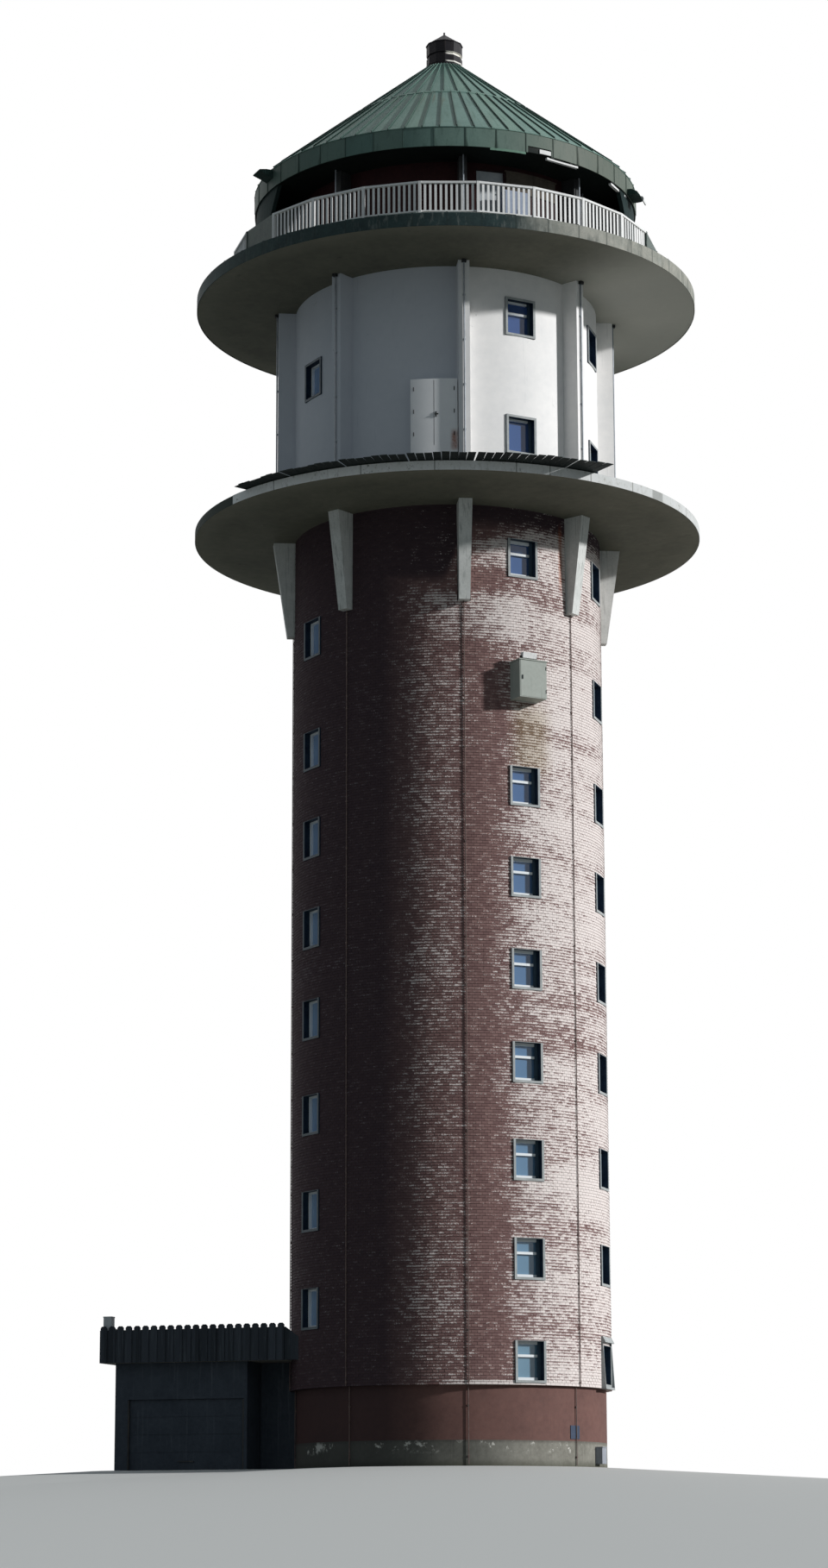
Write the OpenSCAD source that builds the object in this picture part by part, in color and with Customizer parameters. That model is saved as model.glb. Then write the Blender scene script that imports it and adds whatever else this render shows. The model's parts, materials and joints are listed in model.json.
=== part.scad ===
// Round look-out and transmitter tower as a scale model at 1:2.
// A tiled concrete shaft carries two cantilever discs with a white drum between them,
// then an open gallery under a seamed copper roof; a flat-roofed annex stands on the left.
// Origin on the tower axis at ground level, front towards -Y, annex towards -X.
// An azimuth counts from the front and grows towards the right-hand side.

/* [Shaft] */
// Outside diameter of the shaft over its tile cladding
shaft_d = 4700; // [4500:50:4900]
// Depth of the cladding from the concrete to the tile face
cladding_t = 80; // [60:5:100]
// Thickness of the round concrete wall
wall_t = 150; // [130:5:180]
// Height of the grey plinth band
plinth_h = 357; // [300:1:400]
// Height of the lower edge of the cladding
cladding_z = 1120; // [1000:10:1130]

/* [Storeys] */
// Sill of the lowest window row above the ground
first_sill = 1185; // [1170:5:1230]
// How much lower the sills of that row sit than the even rise asks
ground_sill_drop = 40; // [0:5:45]
// Rise of each of the three lowest storeys
low_rise = 1400; // [1300:10:1500]
// Rise of each of the three middle storeys
mid_rise = 1350; // [1250:10:1450]
// Rise of the plant storey behind the equipment box
plant_rise = 1600; // [1500:10:1700]
// Rise of the storey below the lower disc
neck_rise = 1850; // [1750:10:1950]
// Sill height above its storey floor
sill_above_floor = 450; // [400:10:500]
// Thickness of the storey floors
floor_t = 120; // [80:5:160]
// Wall above the highest shaft window up to the lower disc
neck_head = 470; // [400:10:550]
// Top of the ground floor above the ground
ground_floor_h = 150; // [100:10:200]

/* [Windows] */
// Width of a shaft window over its metal surround
window_w = 500; // [460:10:520]
// Height of a shaft window over its metal surround
window_h = 590; // [560:5:600]
// Breadth of the surround over the head of a shaft window
window_head_t = 6; // [4:1:12]
// Width of a drum window over its surround
drum_window_w = 510; // [460:10:530]
// Height of a drum window over its surround
drum_window_h = 600; // [540:10:620]
// Breadth of the surround seen from outside
surround_t = 36; // [28:1:42]
// How far a surround stands out from the wall face
surround_proud = 12; // [6:1:20]
// Depth of a reveal from the wall face to the glass
reveal_d = 125; // [105:5:140]
// Breadth of the casement bars of a room window in the shaft
casement_w = 44; // [30:1:48]
// Breadth of the casement bars of the stair and drum windows
slim_casement_w = 28; // [20:1:36]
// Depth of the casement bars in front of the glass
casement_d = 40; // [20:1:50]
// Height of the transom bar
transom_h = 36; // [28:1:44]
// Height of the light above the transom
top_light_h = 141; // [120:1:160]
// Thickness of the glass
glass_t = 8; // [4:1:12]
// Azimuth of the stair windows, on the front left bay
stair_az = -43; // [-48:1:-40]
// Height of a stair window sill above the room sill below it
stair_offset = 765; // [600:5:800]
// The same offset on the storey below the lower disc
upper_stair_offset = 876; // [700:1:950]

/* [Discs] */
// Reach of both cantilever discs beyond the gallery railing
apron_w = 571; // [520:1:600]
// Height of the rim of the lower disc
lower_rim_h = 136; // [100:1:160]
// Thickness of the lower disc at its root
lower_root_t = 305; // [260:5:340]
// Height of the rim of the upper disc
upper_rim_h = 188; // [150:1:220]
// Thickness of the upper disc at its root
upper_root_t = 461; // [430:1:480]
// Rise of the underside of a disc from its root to its rim
underside_rise = 50; // [20:5:60]
// Thickness of the pale fascia strip round the lower rim
fascia_t = 8; // [5:1:12]
// Azimuth where the fascia strip of the lower disc begins
fascia_from = -38; // [-45:1:-30]
// Azimuth where it ends at the back
fascia_to = 200; // [150:5:260]

/* [Rim plates] */
// Angle that one plate takes up
plate_angle = 1.75; // [1.5:0.05:2]
// Reach of the plates beyond the rim at the left end
plate_out_left = 200; // [160:5:240]
// Reach of the plates beyond the rim at the right end
plate_out_right = 440; // [380:5:460]
// Thickness of a plate
plate_t = 8; // [5:1:10]
// Width of the foot strip under the plates
plate_foot_w = 80; // [60:5:100]
// Distance of the foot strip from the rim
plate_foot_in = 15; // [10:1:30]

/* [Ribs and brackets] */
// Depth of a rib from the drum wall to its outer face
rib_d = 270; // [240:5:290]
// Width of a rib
rib_w = 170; // [140:5:200]
// Reach of a bracket beyond the shaft at its top
bracket_out = 330; // [300:5:340]
// Reach of a bracket beyond the shaft at its foot
bracket_foot_out = 112; // [60:1:140]
// Height of a bracket below the lower disc
bracket_h = 1475; // [1200:5:1500]
// Width of a bracket at its top
bracket_w = 200; // [180:5:230]
// Width of a bracket at its foot
bracket_foot_w = 165; // [130:5:175]

/* [Drum] */
// Sill of the lower drum windows above the disc
drum_sill = 550; // [500:10:600]
// Rise from the lower to the upper row of drum windows
drum_rise = 1850; // [1700:10:1950]
// Wall above the upper drum windows
drum_head = 422; // [380:1:500]
// Sill of the drum stair window above the disc
drum_stair_sill = 1744; // [1500:1:1900]
// Azimuth of the middle of the curved cabinet
cabinet_az = 12.4; // [11:0.1:12.5]
// Angle that the cabinet takes up
cabinet_angle = 15.8; // [12:0.1:16]
// Depth of the cabinet from the drum wall
cabinet_d = 200; // [150:5:240]
// Height of the cabinet
cabinet_h = 1585; // [1400:5:1700]
// Height of the fixed panel below the cabinet doors
cabinet_base_h = 555; // [400:5:600]
// Rounding of the cabinet's top right corner
cabinet_corner_r = 60; // [30:5:90]
// Thickness of the cabinet's cheeks, lid and back
cabinet_shell = 25; // [15:1:35]
// Thickness of the cabinet doors
cabinet_door_t = 14; // [8:1:20]

/* [Gallery] */
// Height of the gallery from its deck to the ceiling
gallery_h = 1208; // [1150:1:1300]
// Free width of the gallery between its inner and its outer wall
gallery_walk = 562; // [550:1:580]
// Thickness of the outer gallery wall
outer_wall_t = 60; // [40:5:80]
// Distance from the outer wall to the line of the railing posts
rail_out = 342; // [300:1:360]
// Height of the railing
railing_h = 512; // [480:1:560]
// Number of railing panels round the gallery
railing_panels = 24; // [20:1:26]
// Azimuth of the first railing post
railing_from = 10; // [8:0.5:12]
// Upright pickets in one panel
pickets = 10; // [8:1:11]
// Width of a picket
picket_w = 36; // [28:1:42]
// Thickness of a picket
picket_t = 10; // [6:1:14]
// Side of a railing post
post_w = 42; // [34:1:50]
// Height of the top rail
top_rail_h = 32; // [20:1:36]
// Height of the bottom rail
bottom_rail_h = 22; // [16:1:30]
// Free height under the bottom rail
rail_clear = 34; // [20:1:50]
// Azimuth of the front edge of the outer wall on the right
outer_from = 92; // [88:1:96]
// Azimuth of its front edge on the left
outer_to = 306; // [302:1:310]
// Slant of both front edges, as an angle round the tower
outer_slant = 11; // [6:1:14]
// Width of a gallery post
gallery_post_w = 120; // [80:5:150]
// How far a gallery post stays behind the face of the ribs
gallery_post_in = 30; // [20:5:60]
// Azimuth of the pale double door
gallery_door_az = 33.5; // [31:0.5:35]
// Width of that door
gallery_door_w = 440; // [400:10:480]
// Height of that door
gallery_door_h = 1110; // [1000:5:1120]
// How deep its leaves stand behind the wall face
gallery_door_inset = 100; // [60:5:110]

/* [Roof] */
// Reach of the eave band beyond the outer gallery wall
eave_overhang = 28; // [20:1:40]
// Height of the eave band
eave_band_h = 300; // [250:5:320]
// Drop of the eave band below the ceiling
eave_drop = 12; // [5:1:25]
// Thickness of the eave band
eave_t = 14; // [10:1:18]
// Pitch of the roof
roof_pitch = 39.4; // [38:0.1:42]
// Thickness of the roof shell
roof_t = 60; // [40:5:80]
// Number of standing seams in the outer tier
outer_seams = 72; // [60:1:80]
// Number of standing seams in the inner tier
inner_seams = 45; // [36:1:48]
// Radius where the two tiers meet
tier_r = 1580; // [1500:10:1800]
// Height of a standing seam
seam_h = 20; // [12:1:26]
// Width of a standing seam
seam_w = 10; // [6:1:14]
// Number of panels in the eave band
band_panels = 40; // [36:1:44]
// Number of the panel that has lost its lower lip, from the front to the right
broken_panel = 5; // [3:1:7]
// Height of the lost part of its lip
broken_lip_h = 105; // [80:5:130]

/* [Lantern] */
// Radius of the twelve-sided lantern at its corners
lantern_r = 285; // [250:5:310]
// Height of the lantern wall
lantern_h = 404; // [360:1:440]
// Azimuth of one of its corners
lantern_turn = 18.5; // [0:0.5:29.5]
// Height of its lid
lantern_lid_h = 203; // [160:1:240]
// Height of the spike on the lid
spike_h = 49; // [30:1:80]
// Height of the slot round the lantern
lantern_slot_h = 45; // [30:1:60]
// Height of the slot above the foot of the lantern
lantern_slot_z = 180; // [140:1:220]
// Height of the flashing ring above the foot of the lantern
lantern_ring_z = 50; // [30:1:80]

/* [Equipment box] */
// Width of the box over the plant window
box_w = 450; // [400:5:480]
// Height of the box
box_h = 572; // [540:1:600]
// How far it stands out from the tiles
box_d = 277; // [240:1:300]
// How far its foot lies below the sill line of the window
box_drop = 30; // [15:1:45]
// Thickness of its lid
box_lid_t = 14; // [8:1:20]

/* [Hood] */
// Reach of the hood at its foot from the tiles
hood_out = 55; // [40:5:110]
// How far the hood reaches below the window
hood_below = 35; // [32:1:60]
// How far its cheeks reach above the window
hood_above = 40; // [20:5:60]
// Height of the sloping cap over the window
hood_cap_h = 85; // [60:5:110]
// Thickness of its cheeks
hood_t = 14; // [8:1:20]
// Thickness of its sill
hood_sill_t = 30; // [20:1:30]

/* [Annex] */
// Distance of the annex's far wall from the tower axis
annex_far = 4790; // [4600:10:4900]
// Distance of its near wall
annex_near = 2730; // [2660:1:2760]
// Distance of the near end of its roof from the tower axis
annex_roof_near = 2086; // [2070:1:2120]
// Half of the width of the annex
annex_half_w = 1230; // [1150:5:1280]
// Thickness of its walls
annex_wall_t = 110; // [90:5:130]
// Height to the underside of its roof
annex_h = 1547; // [1450:1:1600]
// Overhang of its roof
annex_overhang = 188; // [140:1:200]
// Height of the boarded band round the roof
annex_band_h = 475; // [420:5:500]
// Height of the board tops above the band
board_top_h = 58; // [40:1:70]
// Distance from board to board
board_pitch = 129; // [115:1:140]
// Width of a board
board_w = 100; // [80:1:108]
// Thickness of a board
board_t = 14; // [8:1:20]
// Thickness of the annex roof slab
annex_slab_t = 110; // [90:5:130]
// Side of the vent block on the annex roof
vent_side = 125; // [100:5:150]
// Height of the vent block above the boarded band
vent_rise = 208; // [150:1:230]
// Thickness of the lid on the vent block
vent_lid_t = 18; // [10:1:24]
// Width of the wide door
annex_door_w = 1810; // [1600:10:1840]
// Height of the wide door
annex_door_h = 1017; // [950:1:1060]
// Distance from the near corner to the wide door
annex_door_from = 50; // [40:1:110]
// Width of the passage from the annex into the tower
passage_w = 1240; // [1000:10:1400]
// Width of the doorway in the tower wall
doorway_w = 520; // [450:10:600]
// Height of the doorway
doorway_h = 1020; // [980:10:1080]

/* [Meter box] */
// Azimuth of the small box on the plinth
meter_az = 84; // [78:1:90]
// Width of that box
meter_w = 180; // [150:5:200]
// Height of that box
meter_h = 240; // [200:5:260]
// How far it stands out from the plinth
meter_d = 110; // [80:5:130]
// Height of its foot above the ground
meter_z = 50; // [30:5:60]

/* [Hidden] */
$fn = 256;
// Facets of pipes and other small rounds
small_fn = 48;

// Clearance where one piece seats in or on another
fit = 0.3;
// Open joint between two pieces of the same kind
joint = 1;
// Number of bays round the tower, and the angle of one
bays = 8;
bay = 360 / bays;
// Reach of a cutting body past the faces that it cuts
past = 60;

// Radii, each measured out from the shaft
shaft_r = shaft_d / 2;
concrete_r = shaft_r - cladding_t;
inner_r = concrete_r - wall_t;
drum_inner_r = shaft_r - wall_t;
rib_r = shaft_r + rib_d;
root_r = shaft_r + bracket_out;
outer_wall_in = shaft_r + gallery_walk;
outer_wall_out = outer_wall_in + outer_wall_t;
eave_r = outer_wall_out + eave_overhang;
railing_r = outer_wall_out + rail_out;
disc_r = railing_r + apron_w;
doorway_top = ground_floor_h + doorway_h;

rises = [low_rise, low_rise, low_rise, mid_rise, mid_rise, mid_rise, plant_rise, neck_rise];
room_rows = len(rises) + 1;
plant_row = 7;
top_row = room_rows - 1;

lower_z = shaft_sill(top_row) + window_h + neck_head;
lower_top = lower_z + lower_root_t;
upper_z = lower_top + drum_sill + drum_rise + drum_window_h + drum_head;
deck_z = upper_z + upper_root_t;
ceiling_z = deck_z + gallery_h;
ceiling_t = 40;
eave_z = ceiling_z - eave_drop + eave_band_h;
lantern_z = eave_z + (eave_r - lantern_r) * tan(roof_pitch);

// Bays that have room windows, and the one that the equipment box covers
room_bays = [45, 90, 225, 270];
box_bay = 45;
annex_bay = 270;

function sum_to(v, n) = n <= 0 ? 0 : v[n - 1] + sum_to(v, n - 1);
function shaft_sill(row) = first_sill + sum_to(rises, row);
function room_sill(row) = shaft_sill(row) - (row == 0 ? ground_sill_drop : 0);
function stair_sill(row) = shaft_sill(row) + (row == plant_row ? upper_stair_offset : stair_offset);
function under_z(root_z, r) = root_z + underside_rise * max(0, r - root_r) / (disc_r - root_r);
function lower_top_z(r) =
  lower_top - (lower_top - under_z(lower_z, disc_r) - lower_rim_h) * (r - root_r) / (disc_r - root_r);
function bay_of(az) = (round(az / bay) * bay + 360) % 360;

// Overhang and height of the roof's lower edge, the ledge round the lantern and the slope
roof_lip = 8;
roof_edge_h = 12;
lantern_ledge = 14;
roof_rise =
  (lantern_z - eave_z - roof_edge_h) / (eave_r + roof_lip - lantern_r - lantern_ledge);
function roof_z(r) = lantern_z - (r - lantern_r - lantern_ledge) * roof_rise;

// Windows of the shaft, each as an azimuth and a sill height
room_spots = [
  for (b = room_bays)
    for (row = [0 : top_row])
      if (!(b == box_bay && row == plant_row) && !(b == annex_bay && row == 0))
        [b, room_sill(row)]
];
stair_spots = [
  for (turn = [0, 180])
    for (row = [0 : plant_row])
      [stair_az + turn, stair_sill(row)]
];
shaft_spots = concat(room_spots, stair_spots);
// Windows of the drum
drum_lower_spots = [for (b = room_bays) [b, lower_top + drum_sill]];
drum_upper_spots = [for (b = room_bays) [b, lower_top + drum_sill + drum_rise]];
drum_stair_spots = [for (turn = [0, 180]) [stair_az + turn, lower_top + drum_stair_sill]];
drum_spots = concat(drum_lower_spots, drum_upper_spots, drum_stair_spots);

// Turns a piece made towards +X to an azimuth
module facing(az) {
  rotate([0, 0, az - 90])
    children();
}

// Upright wall piece on a circle, from one azimuth to another
module arc_wall(r_in, r_out, az_from, az_to, z_from, z_to) {
  facing(az_from)
    rotate_extrude(angle = az_to - az_from)
      translate([r_in, z_from])
        square([r_out - r_in, z_to - z_from]);
}

// Ring or disc turned from an outline of radius and height points
module turned(outline) {
  rotate_extrude()
    polygon(outline);
}

// Hole through a round wall at one window
module window_hole(spot, w, h) {
  facing(spot[0])
    translate([inner_r - past, -w / 2, spot[1]])
      cube([shaft_r - inner_r + 2 * past, w, h]);
}

// Metal surround with its casement, made towards +X, with a transom where it is split
module surround(spot, w, h, head_t, bar_w, split) {
  glass_x = shaft_r - reveal_d;
  open_w = w - 2 * surround_t;
  light_w = open_w - 2 * bar_w;
  light_h = h - surround_t - head_t - 2 * bar_w;
  facing(spot[0])
    translate([0, 0, spot[1]])
      difference() {
        translate([glass_x, fit - w / 2, fit])
          cube([reveal_d + surround_proud, w - 2 * fit, h - 2 * fit]);
        translate([glass_x + casement_d, -open_w / 2, surround_t])
          cube([reveal_d + past, open_w, h - surround_t - head_t]);
        translate([glass_x - past, -light_w / 2, surround_t + bar_w])
          cube([2 * past, light_w, split ? light_h - top_light_h - transom_h : light_h]);
        if (split)
          translate([glass_x - past, -light_w / 2, h - head_t - bar_w - top_light_h])
            cube([2 * past, light_w, top_light_h]);
      }
}

// Glass behind the casement bars
module pane(spot, w, h, head_t, bar_w) {
  pane_w = w - 2 * surround_t - bar_w;
  pane_h = h - surround_t - head_t - bar_w;
  facing(spot[0])
    translate([
      shaft_r - reveal_d - glass_t, -pane_w / 2, spot[1] + surround_t + bar_w / 2
    ])
      cube([glass_t, pane_w, pane_h]);
}

// Space of the doorway through the wall below its head
module doorway(from) {
  facing(annex_bay)
    translate([inner_r - past, -doorway_w / 2, from - past])
      cube([wall_t + 2 * past, doorway_w, doorway_top - from + 2 * past]);
}

// Plinth in eight lengths, open at the doorway down to its threshold
module foundation_plinth() {
  color("darkgray") {
    difference() {
      turned([[inner_r, 0], [concrete_r, 0], [concrete_r, plinth_h], [inner_r, plinth_h]]);
      doorway(0);
      for (i = [0 : bays - 1])
        facing((i + 0.5) * bay)
          translate([inner_r - past, -joint / 2, -past])
            cube([wall_t + 2 * past, joint, plinth_h + 2 * past]);
    }
    intersection() {
      turned([[inner_r, 0], [concrete_r, 0], [concrete_r, ground_floor_h], [inner_r, ground_floor_h]]);
      facing(annex_bay)
        translate([0, fit - doorway_w / 2, -past])
          cube([shaft_r, doorway_w - 2 * fit, ground_floor_h + 2 * past]);
    }
  }
}

// One bay of the concrete shaft wall from a given height up to the lower disc
module wall_bay(az, from = plinth_h) {
  color("rosybrown")
    difference() {
      arc_wall(inner_r, concrete_r, az - bay / 2, az + bay / 2, from, lower_z);
      for (spot = shaft_spots)
        if (bay_of(spot[0]) == az)
          window_hole(spot, window_w, window_h);
    }
}

module wall_front() { wall_bay(0); }
module wall_front_right() { wall_bay(45); }
module wall_right() { wall_bay(90); }
module wall_back_right() { wall_bay(135); }
module wall_back() { wall_bay(180); }
module wall_back_left() { wall_bay(225); }
// The left bay stands over the doorway, with a pier on each side of it
module wall_left() {
  wall_bay(annex_bay, doorway_top + fit);
  color("rosybrown")
    difference() {
      arc_wall(
        inner_r, concrete_r, annex_bay - bay / 2, annex_bay + bay / 2, plinth_h, doorway_top
      );
      doorway(plinth_h);
    }
}
module wall_front_left() { wall_bay(315); }

module tile_cladding() {
  r_in = concrete_r + fit;
  color("saddlebrown")
    difference() {
      turned([[r_in, cladding_z], [shaft_r, cladding_z], [shaft_r, lower_z], [r_in, lower_z]]);
      for (spot = shaft_spots)
        window_hole(spot, window_w, window_h);
      for (i = [0 : bays - 1])
        facing((i + 0.5) * bay)
          translate([r_in - past, -bracket_w / 2 - fit, lower_z - bracket_h - fit])
            cube([cladding_t + 2 * past, bracket_w + 2 * fit, bracket_h + past]);
      annex_void();
    }
}

// Space that the annex's passage takes where it meets the cladding
module annex_void() {
  translate([-annex_near, -passage_w / 2 - fit, -past])
    cube([annex_near - inner_r, passage_w + 2 * fit, annex_h + past + fit]);
}

module ground_floors() {
  color("gray") {
    cylinder(r = inner_r - fit, h = ground_floor_h);
    translate([fit + annex_wall_t - annex_far, fit + annex_wall_t - annex_half_w, 0])
      cube([
        annex_far - annex_near - 2 * annex_wall_t - 2 * fit,
        2 * annex_half_w - 2 * annex_wall_t - 2 * fit,
        ground_floor_h / 2
      ]);
  }
}

module storey_floors() {
  color("lightgray") {
    for (row = [1 : top_row])
      translate([0, 0, shaft_sill(row) - sill_above_floor - floor_t])
        cylinder(r = inner_r - fit, h = floor_t);
    translate([0, 0, lower_top + drum_sill + drum_rise - sill_above_floor - floor_t])
      cylinder(r = drum_inner_r - fit, h = floor_t);
  }
}

module lower_disc() {
  rim_z = under_z(lower_z, disc_r);
  color("lightgray")
    turned([
      [0, lower_z], [root_r, lower_z], [disc_r, rim_z],
      [disc_r, rim_z + lower_rim_h], [root_r, lower_top], [0, lower_top]
    ]);
}

module lower_disc_fascia() {
  rim_z = under_z(lower_z, disc_r);
  color("white")
    arc_wall(disc_r + fit, disc_r + fascia_t, fascia_from, fascia_to, rim_z, rim_z + lower_rim_h);
}

// Azimuths of the open gaps between the strips of rim plates, with both ends
plate_edges = [-33.5, -19.5, -5.5, 8.5, 22.5, 43, 50.5];
// Half of such a gap, as an angle, and the unevenness of the plates' outer ends
plate_slit = 0.12;
plate_ragged = 22;
function plate_out(az, k) =
  plate_out_left
  + (plate_out_right - plate_out_left) * (az - plate_edges[0])
    / (plate_edges[len(plate_edges) - 1] - plate_edges[0])
  + plate_ragged * sin(77 * k);

// Flat plate that reaches outwards from the foot strip
module rim_plate(az, angle, k) {
  from = disc_r - plate_foot_in - plate_foot_w + plate_t;
  w = 2 * from * tan(angle / 2) - joint;
  facing(az)
    translate([from, -w / 2, plate_z])
      cube([disc_r + plate_out(az, k) - from, w, plate_t]);
}

// Height of the underside of the plates
plate_z = lower_top_z(disc_r - plate_foot_in - plate_foot_w) + plate_t / 2;

// Plates that lie on curved foot strips and reach out over the rim of the lower disc
module rim_plates() {
  foot_out = disc_r - plate_foot_in;
  foot_in = foot_out - plate_foot_w;
  foot_top = plate_z + plate_t / 2;
  color("darkslategray")
    for (s = [0 : len(plate_edges) - 2])
      union() {
        az_from = plate_edges[s] + plate_slit;
        az_to = plate_edges[s + 1] - plate_slit;
        count = round((az_to - az_from) / plate_angle);
        step = (az_to - az_from) / count;
        facing(az_from)
          rotate_extrude(angle = az_to - az_from)
            polygon([
              [foot_in, lower_top_z(foot_in) + fit], [foot_out, lower_top_z(foot_out) + fit],
              [foot_out, foot_top], [foot_in, foot_top]
            ]);
        for (k = [0 : count - 1])
          rim_plate(az_from + (k + 0.5) * step, step, k + 10 * s);
      }
}

// Brackets that taper in depth and in width from the disc down to their foot
module lower_brackets() {
  root_x = concrete_r + fit;
  foot_z = lower_z - bracket_h;
  color("gainsboro")
    for (i = [0 : bays - 1])
      facing((i + 0.5) * bay)
        intersection() {
          rotate([90, 0, 0])
            linear_extrude(height = bracket_w, center = true)
              polygon([
                [root_x, foot_z], [shaft_r + bracket_foot_out, foot_z],
                [root_r, lower_z], [root_x, lower_z]
              ]);
          rotate([90, 0, 90])
            linear_extrude(height = root_r + past)
              polygon([
                [-bracket_foot_w / 2, foot_z], [bracket_foot_w / 2, foot_z],
                [bracket_w / 2, lower_z], [-bracket_w / 2, lower_z]
              ]);
        }
}

module drum_walls() {
  color("whitesmoke")
    difference() {
      turned([
        [drum_inner_r, lower_top], [shaft_r, lower_top],
        [shaft_r, upper_z], [drum_inner_r, upper_z]
      ]);
      for (i = [0 : bays - 1])
        facing((i + 0.5) * bay)
          translate([drum_inner_r - past, -rib_w / 2 - fit, lower_top - past])
            cube([wall_t + 2 * past, rib_w + 2 * fit, upper_z - lower_top + 2 * past]);
      for (spot = drum_spots)
        window_hole(spot, drum_window_w, drum_window_h);
    }
}

module drum_ribs() {
  color("white")
    for (i = [0 : bays - 1])
      facing((i + 0.5) * bay)
        translate([drum_inner_r, -rib_w / 2, lower_top])
          cube([rib_r - drum_inner_r, rib_w, upper_z - lower_top]);
}

// Outer radius of the cabinet, and its cheek as an angle
cabinet_r = shaft_r + cabinet_d;
cabinet_cheek = cabinet_shell / shaft_r * 180 / PI;

// Space outside the round of the cabinet's top right corner
module cabinet_corner() {
  facing(cabinet_az + cabinet_angle / 2)
    translate([shaft_r - past, -cabinet_corner_r, lower_top + cabinet_h - cabinet_corner_r])
      difference() {
        cube([cabinet_d + 2 * past, cabinet_corner_r + past, cabinet_corner_r + past]);
        rotate([0, 90, 0])
          cylinder(r = cabinet_corner_r, h = cabinet_d + 2 * past);
      }
}

// Curved body of the cabinet: back, two cheeks, lid and the fixed panel below the doors
module drum_cabinet() {
  az_from = cabinet_az - cabinet_angle / 2;
  az_to = cabinet_az + cabinet_angle / 2;
  color("whitesmoke")
    difference() {
      arc_wall(shaft_r + fit, cabinet_r, az_from, az_to, lower_top, lower_top + cabinet_h);
      arc_wall(
        shaft_r + cabinet_shell, cabinet_r + past, az_from + cabinet_cheek, az_to - cabinet_cheek,
        lower_top + cabinet_base_h, lower_top + cabinet_h - cabinet_shell
      );
      cabinet_corner();
    }
}

// Two curved leaves that close the cabinet
module cabinet_doors() {
  leaf_gap = 0.1;
  edge_gap = 0.01;
  color("white")
    for (side = [-1, 1]) {
      near = cabinet_az + side * leaf_gap;
      far = cabinet_az + side * (cabinet_angle / 2 - cabinet_cheek - edge_gap);
      arc_wall(
        cabinet_r - cabinet_door_t, cabinet_r, min(near, far), max(near, far),
        lower_top + cabinet_base_h + fit, lower_top + cabinet_h - cabinet_shell - fit
      );
    }
}

module upper_disc() {
  rim_z = under_z(upper_z, disc_r);
  color("lightgray")
    difference() {
      turned([
        [0, upper_z], [root_r, upper_z], [disc_r, rim_z], [disc_r, rim_z + upper_rim_h],
        [railing_r + post_w, deck_z], [0, deck_z]
      ]);
      for (i = [0 : bays - 1])
        facing((i + 0.5) * bay)
          translate([pipe_x, 0, upper_z - past])
            cylinder(r = pipe_hole_r, h = upper_root_t + 2 * past, $fn = small_fn);
    }
}

// Copper apron that folds over the rim and runs up to the railing
module upper_disc_apron() {
  rim_z = under_z(upper_z, disc_r);
  top_r = railing_r + post_w;
  sheet = 8;
  color("darkseagreen")
    turned([
      [disc_r + fit, rim_z - sheet], [disc_r + sheet, rim_z - sheet],
      [disc_r + sheet, rim_z + upper_rim_h + sheet / 2], [top_r, deck_z + sheet + fit],
      [top_r, deck_z + fit], [disc_r + fit, rim_z + upper_rim_h + fit]
    ]);
}

function post_az(i) = railing_from + i * 360 / railing_panels;
// Panels of the railing that are closed with sheet, by their azimuth
closed_az = [85, 310];
closed_panels = [for (az = closed_az) round((az - railing_from) * railing_panels / 360)];
function is_closed(i) = i == closed_panels[0] || i == closed_panels[1];

// Distance from post to post, and the length of a panel's rails from its own post
// up to an open joint before the next one
half_panel = 180 / railing_panels;
post_pitch = 2 * railing_r * sin(half_panel);
post_reach = post_w / 2 * (cos(half_panel) + sin(half_panel));
rail_run = post_pitch - post_reach - joint;

// Post of one railing panel
module railing_post(i) {
  facing(post_az(i))
    translate([railing_r - post_w / 2, -post_w / 2, deck_z])
      cube([post_w, post_w, railing_h]);
}

// Places a piece on the straight line from one post to the next, starting at the post
module along_panel(i) {
  facing(post_az(i) + half_panel)
    translate([railing_r * cos(half_panel), -post_pitch / 2, deck_z])
      children();
}

// Straight panel with two rails and upright flat pickets
module picket_panel(i) {
  step = post_pitch / (pickets + 1);
  picket_z = rail_clear + bottom_rail_h / 2;
  union() {
    railing_post(i);
    along_panel(i) {
      translate([-post_w / 2, 0, railing_h - top_rail_h])
        cube([post_w, rail_run, top_rail_h]);
      translate([-picket_t, 0, rail_clear])
        cube([2 * picket_t, rail_run, bottom_rail_h]);
      for (k = [1 : pickets])
        translate([-picket_t / 2, k * step - picket_w / 2, picket_z])
          cube([picket_t, picket_w, railing_h - top_rail_h / 2 - picket_z]);
    }
  }
}

module gallery_railing() {
  color("whitesmoke")
    for (i = [0 : railing_panels - 1])
      if (!is_closed(i))
        picket_panel(i);
}

// Two panels closed with sheet, each with its own post
module parapet_panels() {
  color("slategray")
    for (i = closed_panels)
      union() {
        railing_post(i);
        along_panel(i)
          translate([-post_w / 4, 0, 0])
            cube([post_w / 2, rail_run, railing_h]);
      }
}

module gallery_walls() {
  color("sienna")
    difference() {
      turned([
        [drum_inner_r, deck_z], [shaft_r, deck_z],
        [shaft_r, ceiling_z], [drum_inner_r, ceiling_z]
      ]);
      for (i = [0 : bays - 1])
        facing((i + 0.5) * bay)
          translate([drum_inner_r - past, -gallery_post_w / 2 - fit, deck_z - past])
            cube([wall_t + 2 * past, gallery_post_w + 2 * fit, gallery_h + 2 * past]);
      facing(gallery_door_az)
        translate([drum_inner_r - past, -gallery_door_w / 2, deck_z - past])
          cube([wall_t + 2 * past, gallery_door_w, gallery_door_h + past]);
    }
}

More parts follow.
